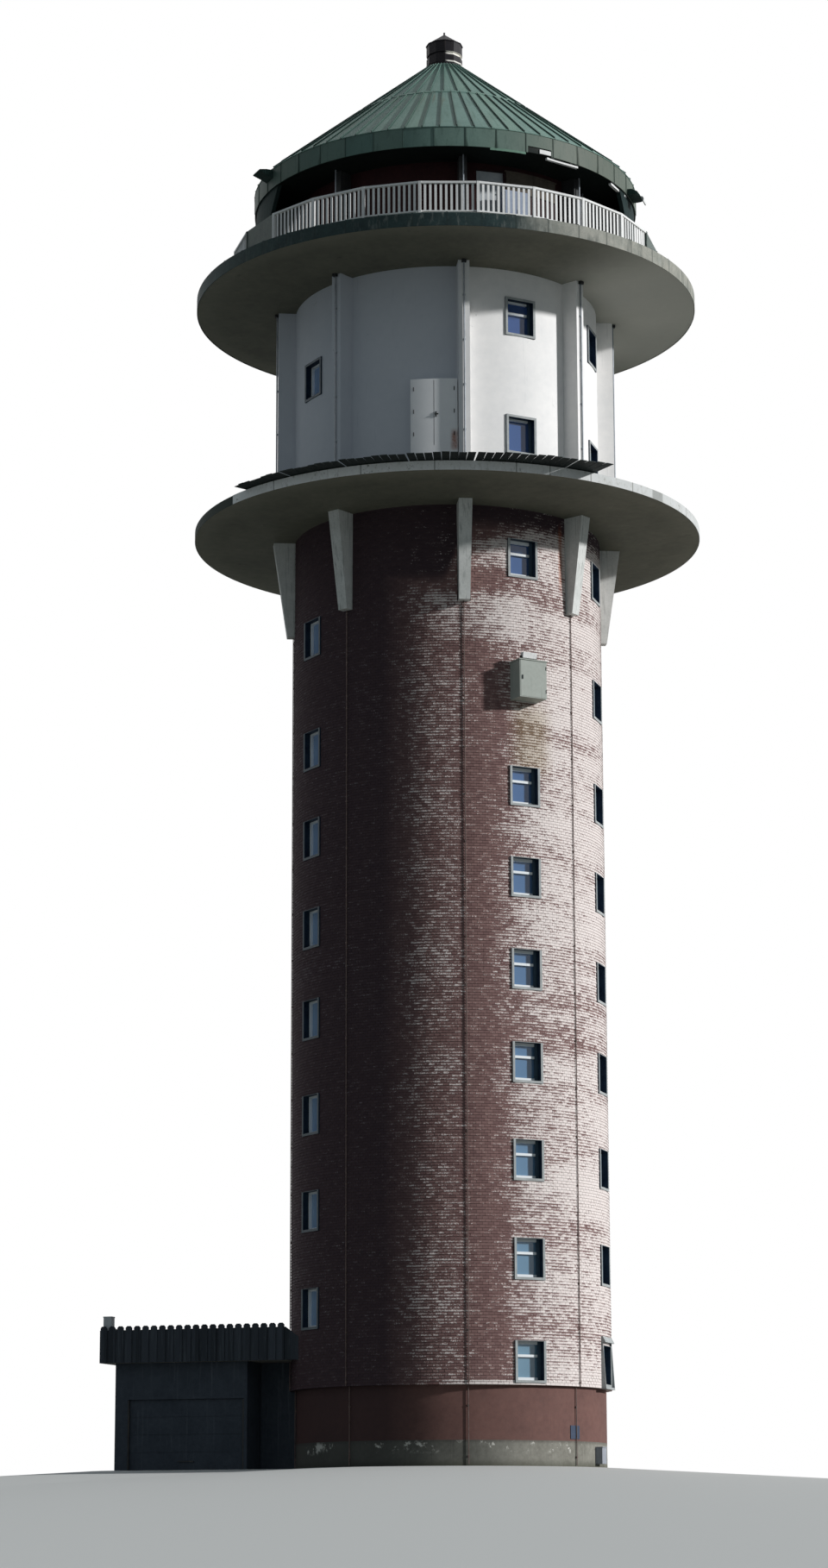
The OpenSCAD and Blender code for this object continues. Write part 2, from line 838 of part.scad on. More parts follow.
// Posts that carry the ribs on up through the gallery
module gallery_posts() {
  color("dimgray")
    for (i = [0 : bays - 1])
      facing((i + 0.5) * bay)
        translate([drum_inner_r, -gallery_post_w / 2, deck_z])
          cube([rib_r - gallery_post_in - drum_inner_r, gallery_post_w, gallery_h]);
}

// Curved outer wall round the back, one length to a bay, with slanted front edges
module gallery_outer_walls() {
  edges = concat([outer_from], [for (i = [2 : 6]) (i + 0.5) * bay], [outer_to]);
  slit = 0.02;
  foot_share = 0.3;
  top_w = outer_wall_out * outer_slant * PI / 180;
  color("darkslategray") {
    for (i = [0 : len(edges) - 2])
      arc_wall(
        outer_wall_in, outer_wall_out, edges[i] + slit, edges[i + 1] - slit, deck_z, ceiling_z
      );
    for (end = [[outer_from, -1], [outer_to, 1]])
      facing(end[0] + end[1] * slit)
        intersection() {
          rotate_extrude()
            translate([outer_wall_in, deck_z])
              square([outer_wall_t, gallery_h]);
          rotate([90, 0, 90])
            linear_extrude(height = eave_r)
              polygon([
                [0, deck_z + gallery_h * foot_share], [end[1] * top_w, ceiling_z], [0, ceiling_z]
              ]);
        }
  }
}

// Two pale leaves that close the gallery doorway
module gallery_door() {
  leaf_t = 30;
  color("gainsboro")
    facing(gallery_door_az)
      for (side = [0, 1])
        translate([
          shaft_r - gallery_door_inset,
          side * (gallery_door_w / 2) - gallery_door_w / 2 + fit + side * fit,
          deck_z + fit
        ])
          cube([leaf_t, gallery_door_w / 2 - 3 * fit, gallery_door_h - 2 * fit]);
}

module gallery_ceiling() {
  color("darkslategray")
    difference() {
      translate([0, 0, ceiling_z])
        cylinder(r = eave_r - eave_t - fit, h = ceiling_t);
      for (i = [0 : bays - 1])
        facing((i + 0.5) * bay)
          translate([pipe_x, 0, ceiling_z - past])
            cylinder(r = pipe_r + pipe_play, h = ceiling_t + 2 * past, $fn = small_fn);
    }
}

// One panel of the band has lost its lower lip, between its two seams
module eave_band() {
  seam = 10;
  seam_angle = 0.6;
  panel = 360 / band_panels;
  lip_z = ceiling_z - eave_drop;
  color("seagreen")
    difference() {
      union() {
        turned([
          [eave_r - eave_t, lip_z], [eave_r, lip_z],
          [eave_r, eave_z - fit], [eave_r - eave_t, eave_z - fit]
        ]);
        for (i = [0 : band_panels - 1])
          facing((i + 0.5) * panel)
            translate([eave_r - 2, -seam / 2, lip_z])
              cube([seam, seam, eave_band_h - 2 * fit]);
      }
      arc_wall(
        eave_r - eave_t - past, eave_r + past, (broken_panel - 0.5) * panel + seam_angle,
        (broken_panel + 0.5) * panel - seam_angle, lip_z - past, lip_z + broken_lip_h
      );
    }
}

// Cone with a foot ring on the ceiling and a flat top under the lantern
module roof_shell() {
  foot_r = eave_r - eave_t - fit;
  foot_t = 90;
  drop = roof_t / cos(roof_pitch);
  edge_r = eave_r + roof_lip;
  color("mediumaquamarine")
    turned([
      [foot_r - foot_t, ceiling_z + ceiling_t], [foot_r, ceiling_z + ceiling_t], [foot_r, eave_z],
      [edge_r, eave_z], [edge_r, eave_z + roof_edge_h], [lantern_r + lantern_ledge, lantern_z],
      [0, lantern_z],
      [0, lantern_z - drop], [lantern_r - roof_t, lantern_z - drop],
      [foot_r - foot_t, eave_z + (eave_r - foot_r + foot_t) * tan(roof_pitch) - drop]
    ]);
}

// Standing seam along the slope between two radii, just clear of the sheet
module slope_seam(az, r_low, r_high) {
  slope = atan(roof_rise);
  run = (r_low - r_high) / cos(slope);
  facing(az)
    translate([r_low, 0, roof_z(r_low)])
      rotate([0, slope - 180, 0])
        translate([0, -seam_w / 2, -fit - seam_h])
          cube([run, seam_w, seam_h]);
}

// Seams of both tiers and the lap of the inner tier over the outer one
module roof_seams() {
  lap_w = 40;
  lap_h = 14;
  lap_r = tier_r - lap_w;
  color("darkseagreen") {
    for (i = [0 : outer_seams - 1])
      slope_seam(i * 360 / outer_seams, eave_r, tier_r + joint);
    for (i = [0 : inner_seams - 1])
      slope_seam(i * 360 / inner_seams, lap_r - seam_h, lantern_r + 2 * lantern_ledge);
    turned([
      [lap_r, roof_z(lap_r) + fit], [tier_r, roof_z(tier_r) + fit],
      [tier_r, roof_z(tier_r) + lap_h], [lap_r, roof_z(lap_r) + lap_h]
    ]);
  }
}

// Prism with twelve sides and a corner at a given azimuth
module lantern_prism(r, z_from, z_to) {
  translate([0, 0, z_from])
    facing(lantern_turn)
      cylinder(r = r, h = z_to - z_from, $fn = lantern_sides);
}
lantern_sides = 12;

// Lantern wall with a slot round it and a flashing ring near its foot
module lantern_body() {
  slot_z = lantern_z + lantern_slot_z;
  slot_depth = 20;
  ring_z = lantern_z + lantern_ring_z;
  ring_h = 22;
  ring_out = 8;
  color("dimgray")
    union() {
      lantern_prism(lantern_r, lantern_z, slot_z);
      lantern_prism(lantern_r + ring_out, ring_z, ring_z + ring_h);
      lantern_prism(lantern_r - slot_depth, slot_z, slot_z + lantern_slot_h);
      lantern_prism(lantern_r, slot_z + lantern_slot_h, lantern_z + lantern_h);
    }
}

module lantern_lid() {
  edge = 12;
  z = lantern_z + lantern_h;
  spike_r = 14;
  color("dimgray") {
    lantern_prism(lantern_r + edge, z, z + edge);
    translate([0, 0, z + edge + fit])
      facing(lantern_turn)
        cylinder(
          r1 = lantern_r, r2 = 2 * spike_r, h = lantern_lid_h - edge - fit, $fn = lantern_sides
        );
    translate([0, 0, z + lantern_lid_h + fit])
      cylinder(r = spike_r, h = spike_h, $fn = small_fn);
  }
}

// Plate across the hood, from an outline of radius and height points
module hood_slab(w, outline) {
  rotate([90, 0, 0])
    linear_extrude(height = w, center = true)
      polygon(outline);
}

// Leaning cheeks, sill and sloping cap of the hood round the lowest window on the right
module window_hood() {
  z = room_sill(0) - hood_below;
  top = room_sill(0) + window_h + hood_above;
  head_r = shaft_r + surround_proud;
  root_x = shaft_r - past;
  foot_r = shaft_r + hood_out;
  w = window_w + 2 * hood_t + 2 * fit;
  color("darkslategray")
    facing(90)
      difference() {
        union() {
          hood_slab(w, [[root_x, z], [foot_r, z], [head_r, top], [root_x, top]]);
          hood_slab(w, [
            [root_x, top], [foot_r, top], [head_r, top + hood_cap_h], [root_x, top + hood_cap_h]
          ]);
        }
        translate([shaft_r - 2 * past, -window_w / 2 - fit, z + hood_sill_t])
          cube([4 * past, window_w + 2 * fit, top - z - hood_sill_t + fit]);
        translate([0, 0, -past])
          cylinder(r = shaft_r + fit, h = lower_z);
      }
}

module window_surrounds() {
  color("silver") {
    for (spot = room_spots)
      surround(spot, window_w, window_h, window_head_t, casement_w, true);
    for (spot = stair_spots)
      surround(spot, window_w, window_h, window_head_t, slim_casement_w, false);
    for (spot = drum_upper_spots)
      surround(spot, drum_window_w, drum_window_h, surround_t, slim_casement_w, true);
    for (spot = concat(drum_lower_spots, drum_stair_spots))
      surround(spot, drum_window_w, drum_window_h, surround_t, slim_casement_w, false);
    window_hood();
  }
}

module window_glass() {
  color("lightskyblue") {
    for (spot = room_spots)
      pane(spot, window_w, window_h, window_head_t, casement_w);
    for (spot = stair_spots)
      pane(spot, window_w, window_h, window_head_t, slim_casement_w);
    for (spot = drum_spots)
      pane(spot, drum_window_w, drum_window_h, surround_t, slim_casement_w);
  }
}

// Metal box over the plant window, with its back hollowed to the round of the tiles
module equipment_box() {
  z = shaft_sill(plant_row) - box_drop;
  lid = box_lid_t;
  color("darkslategray")
    facing(box_bay)
      difference() {
        union() {
          translate([shaft_r - past, -box_w / 2, z])
            cube([box_d + past, box_w, box_h]);
          translate([shaft_r - past, -box_w / 2 - lid, z + box_h - lid])
            cube([box_d + past + lid, box_w + 2 * lid, lid]);
        }
        cylinder(r = shaft_r + fit, h = lower_z);
      }
}

// Sizes of the pipes and conductors
pipe_r = 12;
pipe_out = 20;
pipe_x = rib_r + pipe_out;
pipe_hole_r = 28;
pipe_play = 6;
pipe_foot = 10;
rod_r = 7;
rod_out = 18;
clip_step = 700;
clip = 24;

// Upright rod at a distance from a round wall, held by clips
module clipped_rod(r_wall, z_from, z_to, first_clip) {
  union() {
    translate([r_wall + rod_out, 0, z_from])
      cylinder(r = rod_r, h = z_to - z_from, $fn = small_fn);
    for (z = [z_from + first_clip : clip_step : z_to - 2 * clip])
      translate([r_wall + fit, -clip / 2, z])
        cube([clip, clip, clip]);
  }
}

// Conductor in two lengths, from the ground to a bracket
module conductor(az) {
  foot = 20;
  first_clip = 40;
  first_base_clip = 100;
  facing(az) {
    clipped_rod(shaft_r, cladding_z, lower_z - bracket_h - joint, first_clip);
    clipped_rod(concrete_r, foot, cladding_z - joint, first_base_clip);
  }
}

module shaft_conductors() {
  color("dimgray")
    for (i = [0 : bays - 1])
      conductor((i + 0.5) * bay);
}

// Rainwater pipes on the ribs, from the eave through the upper disc to the lower one
module downpipes() {
  foot_z = lower_top + pipe_foot;
  clip_w = 3 * pipe_r;
  color("gray")
    for (i = [0 : bays - 1])
      facing((i + 0.5) * bay)
        union() {
          translate([pipe_x, 0, foot_z])
            cylinder(r = pipe_r, h = ceiling_z + ceiling_t - foot_z, $fn = small_fn);
          for (z = [foot_z + 2 * clip : clip_step : upper_z - 2 * clip])
            translate([rib_r + fit, -clip_w / 2, z])
              cube([pipe_out, clip_w, clip]);
        }
}

// Round of the tower that the annex is fitted to
module tower_round() {
  translate([0, 0, -past])
    cylinder(r = concrete_r + fit, h = cladding_z + past);
  translate([0, 0, cladding_z - fit])
    cylinder(r = shaft_r + fit, h = lower_z);
}

// Upright slab between two corners on plan
module slab_wall(x_from, x_to, y_from, y_to, z_from, z_to) {
  translate([x_from, y_from, z_from])
    cube([x_to - x_from, y_to - y_from, z_to - z_from]);
}

// Walls of the annex room and of the passage that joins it to the tower
module annex_walls() {
  t = annex_wall_t;
  door_to = -annex_near - annex_door_from;
  door_from = door_to - annex_door_w;
  far = -annex_far;
  near = -annex_near;
  half = annex_half_w;
  way = passage_w / 2;
  color("dimgray") {
    // Front wall: two piers and the lintel over the wide door
    slab_wall(far, door_from, -half, t - half, 0, annex_h);
    slab_wall(door_to, near, -half, t - half, 0, annex_h);
    slab_wall(door_from + fit, door_to - fit, -half, t - half, annex_door_h + fit, annex_h);
    slab_wall(far, near, half - t, half, 0, annex_h);
    slab_wall(far, far + t, t - half + fit, half - t - fit, 0, annex_h);
    for (side = [-1, 1])
      difference() {
        union() {
          scale([1, side, 1])
            slab_wall(near - t, near, way - t, half - t - fit, 0, annex_h);
          scale([1, side, 1])
            slab_wall(near - past, -inner_r, way - t, way, 0, annex_h);
        }
        tower_round();
      }
  }
}

module annex_roof() {
  far = annex_far + annex_overhang - 2 * board_t - fit;
  half = annex_half_w + annex_overhang - 2 * board_t - fit;
  color("gray")
    difference() {
      translate([-far, -half, annex_h])
        cube([far - annex_roof_near, 2 * half, annex_slab_t]);
      tower_round();
    }
}

// Board with a chamfered top that stands above the band, made on the XZ plane
module board() {
  chamfer = board_w / 4;
  h = annex_band_h + board_top_h;
  rotate([90, 0, 0])
    linear_extrude(height = board_t + 2)
      polygon([
        [-board_w / 2, 0], [board_w / 2, 0], [board_w / 2, h - chamfer],
        [board_w / 2 - chamfer, h], [chamfer - board_w / 2, h], [-board_w / 2, h - chamfer]
      ]);
}

// Straight length of the boarded band, made along +X with its outer face towards -Y
module band_length(run, boards) {
  core_t = board_t;
  union() {
    translate([0, board_t, annex_h])
      cube([run, core_t, annex_band_h]);
    for (k = [0 : boards - 1])
      translate([(k + 0.5) * run / boards, board_t + 2, annex_h])
        board();
  }
}

// Sheet that closes the band against the tower, with a top that slopes down to it
module band_end() {
  half = annex_half_w + annex_overhang;
  reach = annex_roof_near - sqrt(shaft_r * shaft_r - half * half) + wall_t;
  top = annex_h + annex_band_h;
  translate([-annex_roof_near, 0, 0])
    rotate([90, 0, 0])
      linear_extrude(height = board_t)
        polygon([
          [-board_t, annex_h], [reach, annex_h], [reach, top - reach * tan(band_end_slope)],
          [0, top], [-board_t, top]
        ]);
}

// Slope of that top
band_end_slope = 36;

// Band of upright boards round three sides of the annex roof
module annex_fascia() {
  far = annex_far + annex_overhang;
  half = annex_half_w + annex_overhang;
  near = annex_roof_near;
  long_n = floor((far - near) / board_pitch);
  side = 2 * half - 4 * board_t - 2 * fit;
  side_n = floor(side / board_pitch);
  color("dimgray")
    difference() {
      union() {
        translate([-far, -half, 0])
          band_length(far - near, long_n);
        translate([-near, half, 0])
          rotate([0, 0, 180])
            band_length(far - near, long_n);
        translate([-far, side / 2, 0])
          rotate([0, 0, -90])
            band_length(side, side_n);
        translate([0, 2 * board_t - half, 0])
          band_end();
        translate([0, half - board_t, 0])
          band_end();
      }
      tower_round();
    }
}

// Wide door in four level sections, set back between the pilasters
module annex_door() {
  sections = 4;
  leaf_t = 30;
  section_h = (annex_door_h - 2 * fit) / sections;
  x = -annex_near - annex_door_from - annex_door_w + fit;
  color("slategray")
    union() {
      translate([x, 40 - annex_half_w + 6, fit])
        cube([annex_door_w - 2 * fit, leaf_t, annex_door_h - 2 * fit]);
      for (i = [0 : sections - 1])
        translate([x, 40 - annex_half_w, fit + i * section_h + 5])
          cube([annex_door_w - 2 * fit, 12, section_h - 10]);
    }
}

// Square vent block at the far front corner of the annex roof
module annex_vent() {
  foot = annex_h + annex_slab_t;
  top = annex_h + annex_band_h + vent_rise;
  lid_out = vent_lid_t / 4;
  in = 3 * board_t;
  translate([in - annex_far - annex_overhang, in - annex_half_w - annex_overhang, 0])
    color("gainsboro") {
      translate([0, 0, foot])
        cube([vent_side, vent_side, top - foot - vent_lid_t]);
      translate([-lid_out, -lid_out, top - vent_lid_t - joint])
        cube([vent_side + 2 * lid_out, vent_side + 2 * lid_out, vent_lid_t]);
    }
}

// Small box on the plinth at the right, with a lid that stands out
module meter_box() {
  lid_t = 12;
  lid_out = 8;
  color("silver")
    facing(meter_az)
      difference() {
        union() {
          translate([concrete_r - past, -meter_w / 2, meter_z])
            cube([past + meter_d - lid_out, meter_w, meter_h]);
          translate([concrete_r - past, -meter_w / 2 - lid_out, meter_z + meter_h - lid_t])
            cube([past + meter_d, meter_w + 2 * lid_out, lid_t]);
        }
        cylinder(r = concrete_r + fit, h = cladding_z);
      }
}

foundation_plinth();
wall_front();
wall_front_right();
wall_right();
wall_back_right();
wall_back();
wall_back_left();
wall_left();
wall_front_left();
tile_cladding();
ground_floors();
storey_floors();
lower_disc();
lower_disc_fascia();
rim_plates();
lower_brackets();
drum_walls();
drum_ribs();
drum_cabinet();
cabinet_doors();
upper_disc();
upper_disc_apron();
gallery_railing();
parapet_panels();
gallery_walls();
gallery_posts();
gallery_outer_walls();
gallery_door();
gallery_ceiling();
roof_shell();
roof_seams();
eave_band();
lantern_body();
lantern_lid();
window_surrounds();
window_glass();
equipment_box();
shaft_conductors();
downpipes();
annex_walls();
annex_roof();
annex_fascia();
annex_door();
annex_vent();
meter_box();
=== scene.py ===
import json
import math

import bmesh
import bpy
from mathutils import Matrix, Vector


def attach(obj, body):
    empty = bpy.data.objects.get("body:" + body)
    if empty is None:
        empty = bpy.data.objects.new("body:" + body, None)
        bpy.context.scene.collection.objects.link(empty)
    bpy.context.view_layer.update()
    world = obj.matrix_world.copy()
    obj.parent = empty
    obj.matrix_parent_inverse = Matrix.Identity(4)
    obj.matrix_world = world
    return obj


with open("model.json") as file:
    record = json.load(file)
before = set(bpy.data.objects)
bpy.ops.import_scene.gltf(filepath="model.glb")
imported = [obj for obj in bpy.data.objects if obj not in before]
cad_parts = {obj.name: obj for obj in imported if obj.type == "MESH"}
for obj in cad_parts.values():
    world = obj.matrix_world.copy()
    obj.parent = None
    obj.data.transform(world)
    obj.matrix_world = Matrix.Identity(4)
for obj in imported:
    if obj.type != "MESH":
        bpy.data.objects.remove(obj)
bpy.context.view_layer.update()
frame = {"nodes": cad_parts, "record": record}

# Main sizes of the tower in metres, as the solids have them: R is a distance from the axis
SHAFT_R = 2.350
BASE_R = 2.270
CABINET_R = 2.550
CABINET_TOP = 15.850
BOX_FRONT_R = 2.627
PIPE_AT = 2.640
DISC_R = 3.885
APRON_TOP_R = 3.356
RAILING_R = 3.314
EAVE_R = 3.000
TIER_R = 1.580
PLINTH_TOP = 0.357
CLADDING_LOW = 1.120
CLADDING_TOP = 13.945
LOWER_TOP = 14.250
UPPER_LOW = 17.672
APRON_LOW = 17.714
APRON_FOLD = 17.918
APRON_TOP = 18.141
DECK_Z = 18.133
EAVE_LOW = 19.329
CEILING_Z = 19.341
LANTERN_Z = 21.859

# Angles round the tower count from the front and grow towards the right-hand side
ROOM_AZ = (45.0, 90.0, 225.0, 270.0)
STAIR_AZ = (-43.0, 137.0)
BAY = 45.0
BAY_LINES = [(i + 0.5) * BAY for i in range(8)]
BOX_AZ = 45.0


def around(azimuth, radius, z=0.0):
    """Point at an azimuth in degrees, a distance from the axis and a height."""
    a = math.radians(azimuth)
    return Vector((radius * math.sin(a), -radius * math.cos(a), z))


def turn_of(azimuth):
    """Share of a full turn, counted from the back, of an azimuth."""
    return 0.5 + azimuth / 360.0


# Node helpers


def add(tree, kind, inputs=None, **settings):
    """New node with its settings, and its inputs given as numbers or as values of other nodes."""
    node = tree.nodes.new(kind)
    for key, setting in settings.items():
        setattr(node, key, setting)
    for key, value in (inputs or {}).items():
        if isinstance(value, Value):
            tree.links.new(value.socket, node.inputs[key])
        else:
            node.inputs[key].default_value = value
    return node


def reckon(tree, operation, *parts, clamp=False):
    """Value of one sum."""
    inputs = dict(enumerate(parts))
    return Value(add(tree, "ShaderNodeMath", inputs, operation=operation, use_clamp=clamp))


class Value:
    """Output of a node, to be reckoned with like a number."""

    def __init__(self, node, output=0):
        self.tree = node.id_data
        self.socket = node.outputs[output]

    def calc(self, operation, *others, clamp=False):
        """Value of one sum that starts with this value."""
        return reckon(self.tree, operation, self, *others, clamp=clamp)

    def __add__(self, other):
        return self.calc("ADD", other)

    def __sub__(self, other):
        return self.calc("SUBTRACT", other)

    def __rsub__(self, other):
        return reckon(self.tree, "SUBTRACT", other, self)

    def __mul__(self, other):
        return self.calc("MULTIPLY", other)

    def __truediv__(self, other):
        return self.calc("DIVIDE", other)

    def __rtruediv__(self, other):
        return reckon(self.tree, "DIVIDE", other, self)

    def above(self, level, slope):
        """0 up to a level, then rising straight to 1."""
        return (self - level).calc("MULTIPLY", slope, clamp=True)


def joined(tree, x, y=0.0, z=0.0):
    """Vector of three numbers or values."""
    return Value(add(tree, "ShaderNodeCombineXYZ", {0: x, 1: y, 2: z}))


def parts_of(vector):
    """The three parts of a vector."""
    node = add(vector.tree, "ShaderNodeSeparateXYZ", {0: vector})
    return [Value(node, i) for i in range(3)]


def tone(colour):
    """Linear colour of a picture colour from 0 to 255. Linear colours and node colours stay."""
    if isinstance(colour, Value) or len(colour) == 4:
        return colour
    parts = [v / 255.0 for v in colour]
    return tuple(v / 12.92 if v <= 0.04045 else ((v + 0.055) / 1.055) ** 2.4 for v in parts) + (1.0,)


def blend(factor, first, second):
    """Colour of two colours mixed by a factor."""
    inputs = {0: factor, 6: tone(first), 7: tone(second)}
    return Value(add(factor.tree, "ShaderNodeMix", inputs, data_type="RGBA"), 2)


def ramp(factor, stops):
    """Value or colour of a ramp through stops of a place and a level or colour."""
    node = add(factor.tree, "ShaderNodeValToRGB", {0: factor})
    points = node.color_ramp.elements
    while len(points) < len(stops):
        points.new(0.5)
    for point, (place_at, level) in zip(points, stops):
        point.position = place_at
        point.color = (level, level, level, 1.0) if isinstance(level, float) else tone(level)
    return Value(node)


def step(value, low, high):
    """Rises softly from 0 to 1 between two levels."""
    inputs = {0: value, 1: low, 2: high}
    return Value(add(value.tree, "ShaderNodeMapRange", inputs, interpolation_type="SMOOTHSTEP"))


def within(value, low, high, soft):
    """1 between two levels, with soft ends."""
    return step(value, low - soft, low + soft) * (1.0 - step(value, high - soft, high + soft))


def between(turn, az_from, az_to, soft):
    """1 between two azimuths, with soft ends measured as shares of a turn."""
    return within(turn, turn_of(az_from), turn_of(az_to), soft)


def coordinates(tree):
    """Object coordinates."""
    return Value(add(tree, "ShaderNodeTexCoord"), "Object")


def place(tree, scale=(1.0, 1.0, 1.0)):
    """Object coordinates, stretched."""
    return Value(add(tree, "ShaderNodeMapping", {"Vector": coordinates(tree), "Scale": scale}))


def noise(vector, scale, detail=3.0, rough=0.55):
    """Noise over a vector."""
    inputs = {"Vector": vector, "Scale": scale, "Detail": detail, "Roughness": rough}
    return Value(add(vector.tree, "ShaderNodeTexNoise", inputs))


def effect(name, inputs, make):
    """Shader group built once: named inputs, and the outputs that its maker names."""
    tree = bpy.data.node_groups.new(name, "ShaderNodeTree")
    for label, number in inputs.items():
        socket = tree.interface.new_socket(label, in_out="INPUT", socket_type="NodeSocketFloat")
        socket.default_value = number
    given = tree.nodes.new("NodeGroupInput")
    made = make(tree, *(Value(given, label) for label in inputs))
    for label in made:
        kind = "NodeSocketVector" if label == "Normal" else "NodeSocketFloat"
        tree.interface.new_socket(label, in_out="OUTPUT", socket_type=kind)
    add(tree, "NodeGroupOutput", made)
    return tree


def use(tree, group, **values):
    """Node of a shared effect, placed in a tree with its own values."""
    inputs = {label.capitalize(): value for label, value in values.items()}
    return add(tree, "ShaderNodeGroup", inputs, node_tree=group)


# Shared effects


def mottle(tree, size):
    """Cloudy patches at two sizes."""
    vector = place(tree)
    scale = 1.0 / size
    mixed = noise(vector, scale * 7.0, 4.0, 0.65) * 0.45 + noise(vector, scale, 4.0) * 0.55
    return {"Mask": ramp(mixed, [(0.36, 0.0), (0.64, 1.0)])}


def water_runs(tree, width, amount):
    """Water runs that go straight down a wall."""
    run = noise(place(tree, (1.0, 1.0, 0.045)), 1.0 / width, 3.0, 0.6)
    broken = ramp(noise(place(tree), 1.3), [(0.35, 0.25), (0.6, 1.0)])
    return {"Mask": run.above(0.78 - amount * 0.4, 7.0) * broken}


def surface_grain(tree, size, depth):
    """Fine relief of cast, rendered or brushed surfaces."""
    height = noise(place(tree), 1.0 / size, 5.0, 0.6)
    bump = {"Strength": depth, "Height": height, "Distance": 0.004}
    return {"Normal": Value(add(tree, "ShaderNodeBump", bump))}


def flakes(tree, size, amount):
    """Scattered flakes with ragged edges."""
    vector = place(tree)
    scale = 1.0 / size
    mixed = noise(vector, scale * 0.2, 2.0) * 0.4 + noise(vector, scale, 5.0, 0.7) * 0.6
    return {"Mask": mixed.above(0.72 - amount * 0.2, 18.0)}


def round_place(tree):
    """Azimuth from 0 to 1 starting at the back, height and radius round the tower axis."""
    x, y, z = parts_of(coordinates(tree))
    turn = x.calc("ARCTAN2", y * -1.0) / (2.0 * math.pi) + 0.5
    return {"Turn": turn, "Height": z, "Radius": (x * x + y * y).calc("SQRT")}


def window_place(tree):
    """Distance outwards and sideways in the frame of the nearest window."""
    x, y, _ = parts_of(coordinates(tree))
    bay = math.radians(BAY)
    count = (x.calc("ARCTAN2", y * -1.0) / bay).calc("ROUND")
    # The stair windows sit two degrees off their bay's middle, in every fourth bay
    stair = (count + 4.0).calc("MODULO", 4.0).calc("COMPARE", 3.0, 0.5)
    middle = stair * math.radians(2.0) + count * bay
    sine, cosine = middle.calc("SINE"), middle.calc("COSINE")
    side = x * cosine + y * sine
    return {"Depth": x * sine - y * cosine, "Aside": side.calc("ABSOLUTE"), "Side": side}


MOTTLE = effect("mottle", {"Size": 1.0}, mottle)
RUNS = effect("water_runs", {"Width": 0.1, "Amount": 0.5}, water_runs)
GRAIN = effect("surface_grain", {"Size": 0.01, "Depth": 0.3}, surface_grain)
CHIPS = effect("chips", {"Size": 0.1, "Amount": 0.5}, flakes)
ROUND = effect("round_place", {}, round_place)
WINDOW_PLACE = effect("window_place", {}, window_place)


def spot_of(tree):
    """Turn, height and radius of a point of the tower."""
    node = use(tree, ROUND)
    return [Value(node, label) for label in ("Turn", "Height", "Radius")]


def falling_streaks(tree, count, length, amount):
    """Ragged marks that run down a round wall, a skirt or a cone."""
    turn, height, radius = spot_of(tree)
    mark = noise(joined(tree, turn * count, (radius - height) / length), 1.0, 4.0, 0.6)
    return {"Mask": mark.above(0.75 - amount * 0.4, 6.0)}


def panel_joints(tree, panels, shift, width):
    """Thin lines that part a ring into equal panels, and a dice for each panel."""
    count = spot_of(tree)[0] * panels - shift
    middle = (count.calc("FRACT") - 0.5).calc("ABSOLUTE")
    line = (middle - (0.5 - width)).calc("DIVIDE", width, clamp=True)
    dice = add(tree, "ShaderNodeTexWhiteNoise", {"W": count.calc("FLOOR")}, noise_dimensions="1D")
    return {"Mask": line, "Dice": Value(dice)}


def painted_shade_side(tree):
    """Painted shade: full from the back round the left side to the front, none on the lit right side."""
    return {"Mask": ramp(spot_of(tree)[0], [
        (0.20, 1.0), (0.48, 1.0), (0.505, 0.5), (0.53, 0.0), (0.90, 0.0), (1.0, 0.5)])}


STREAKS = effect("falling_streaks", {"Count": 200.0, "Length": 0.3, "Amount": 0.5}, falling_streaks)
JOINTS = effect("panel_joints", {"Panels": 40.0, "Shift": 0.0, "Width": 0.05}, panel_joints)
PAINTED_SHADE_SIDE = effect("painted_shade_side", {}, painted_shade_side)


class Paint:
    """Material in the making: its tree, its shader and the colour laid on so far."""

    def __init__(self, name, rough=0.6, metallic=0.0, gloss=0.08):
        self.mat = bpy.data.materials.new(name)
        self.mat.use_nodes = True
        self.tree = self.mat.node_tree
        self.tree.nodes.clear()
        self.colour = None
        self.shader = add(self.tree, "ShaderNodeBsdfPrincipled", {
            "Roughness": rough, "Metallic": metallic, "Specular IOR Level": gloss})
        add(self.tree, "ShaderNodeOutputMaterial", {0: Value(self.shader)})

    def mask(self, group, **values):
        """Mask of a shared effect with its own values."""
        return Value(use(self.tree, group, **values))

    def panels(self, count, shift, width):
        """Joints between the panels of a ring, and the dice of each panel."""
        node = use(self.tree, JOINTS, panels=count, shift=shift, width=width)
        return Value(node, "Mask"), Value(node, "Dice")

    def cloudy(self, size, main, other):
        """Two tones in cloudy patches."""
        return blend(self.mask(MOTTLE, size=size), main, other)

    def ground(self, size, main, other):
        """First coat, in cloudy patches of two tones."""
        self.colour = self.cloudy(size, main, other)

    def coat(self, mask, colour):
        """Lays a colour over what is there, where the mask shows."""
        self.colour = blend(mask, self.colour, colour)

    def done(self, grain_size=None, grain_depth=0.0):
        """Gives the shader its colour and fine relief."""
        self.tree.links.new(self.colour.socket, self.shader.inputs["Base Color"])
        if grain_size is not None:
            grain = self.mask(GRAIN, size=grain_size, depth=grain_depth)
            self.tree.links.new(grain.socket, self.shader.inputs["Normal"])
        return self.mat


# Finishes


def weathered(name, main, other, stain, patch=0.8, run=0.06, amount=0.5, rough=0.6, metallic=0.0):
    """Painted, rendered or cast surface with patches and water runs."""
    paint = Paint(name, rough, metallic)
    paint.ground(patch, main, other)
    paint.coat(paint.mask(RUNS, width=run, amount=amount) * 0.7, stain)
    return paint.done(0.012, 0.25)


TILE_ROW = 0.042
TILES_ROUND = 176


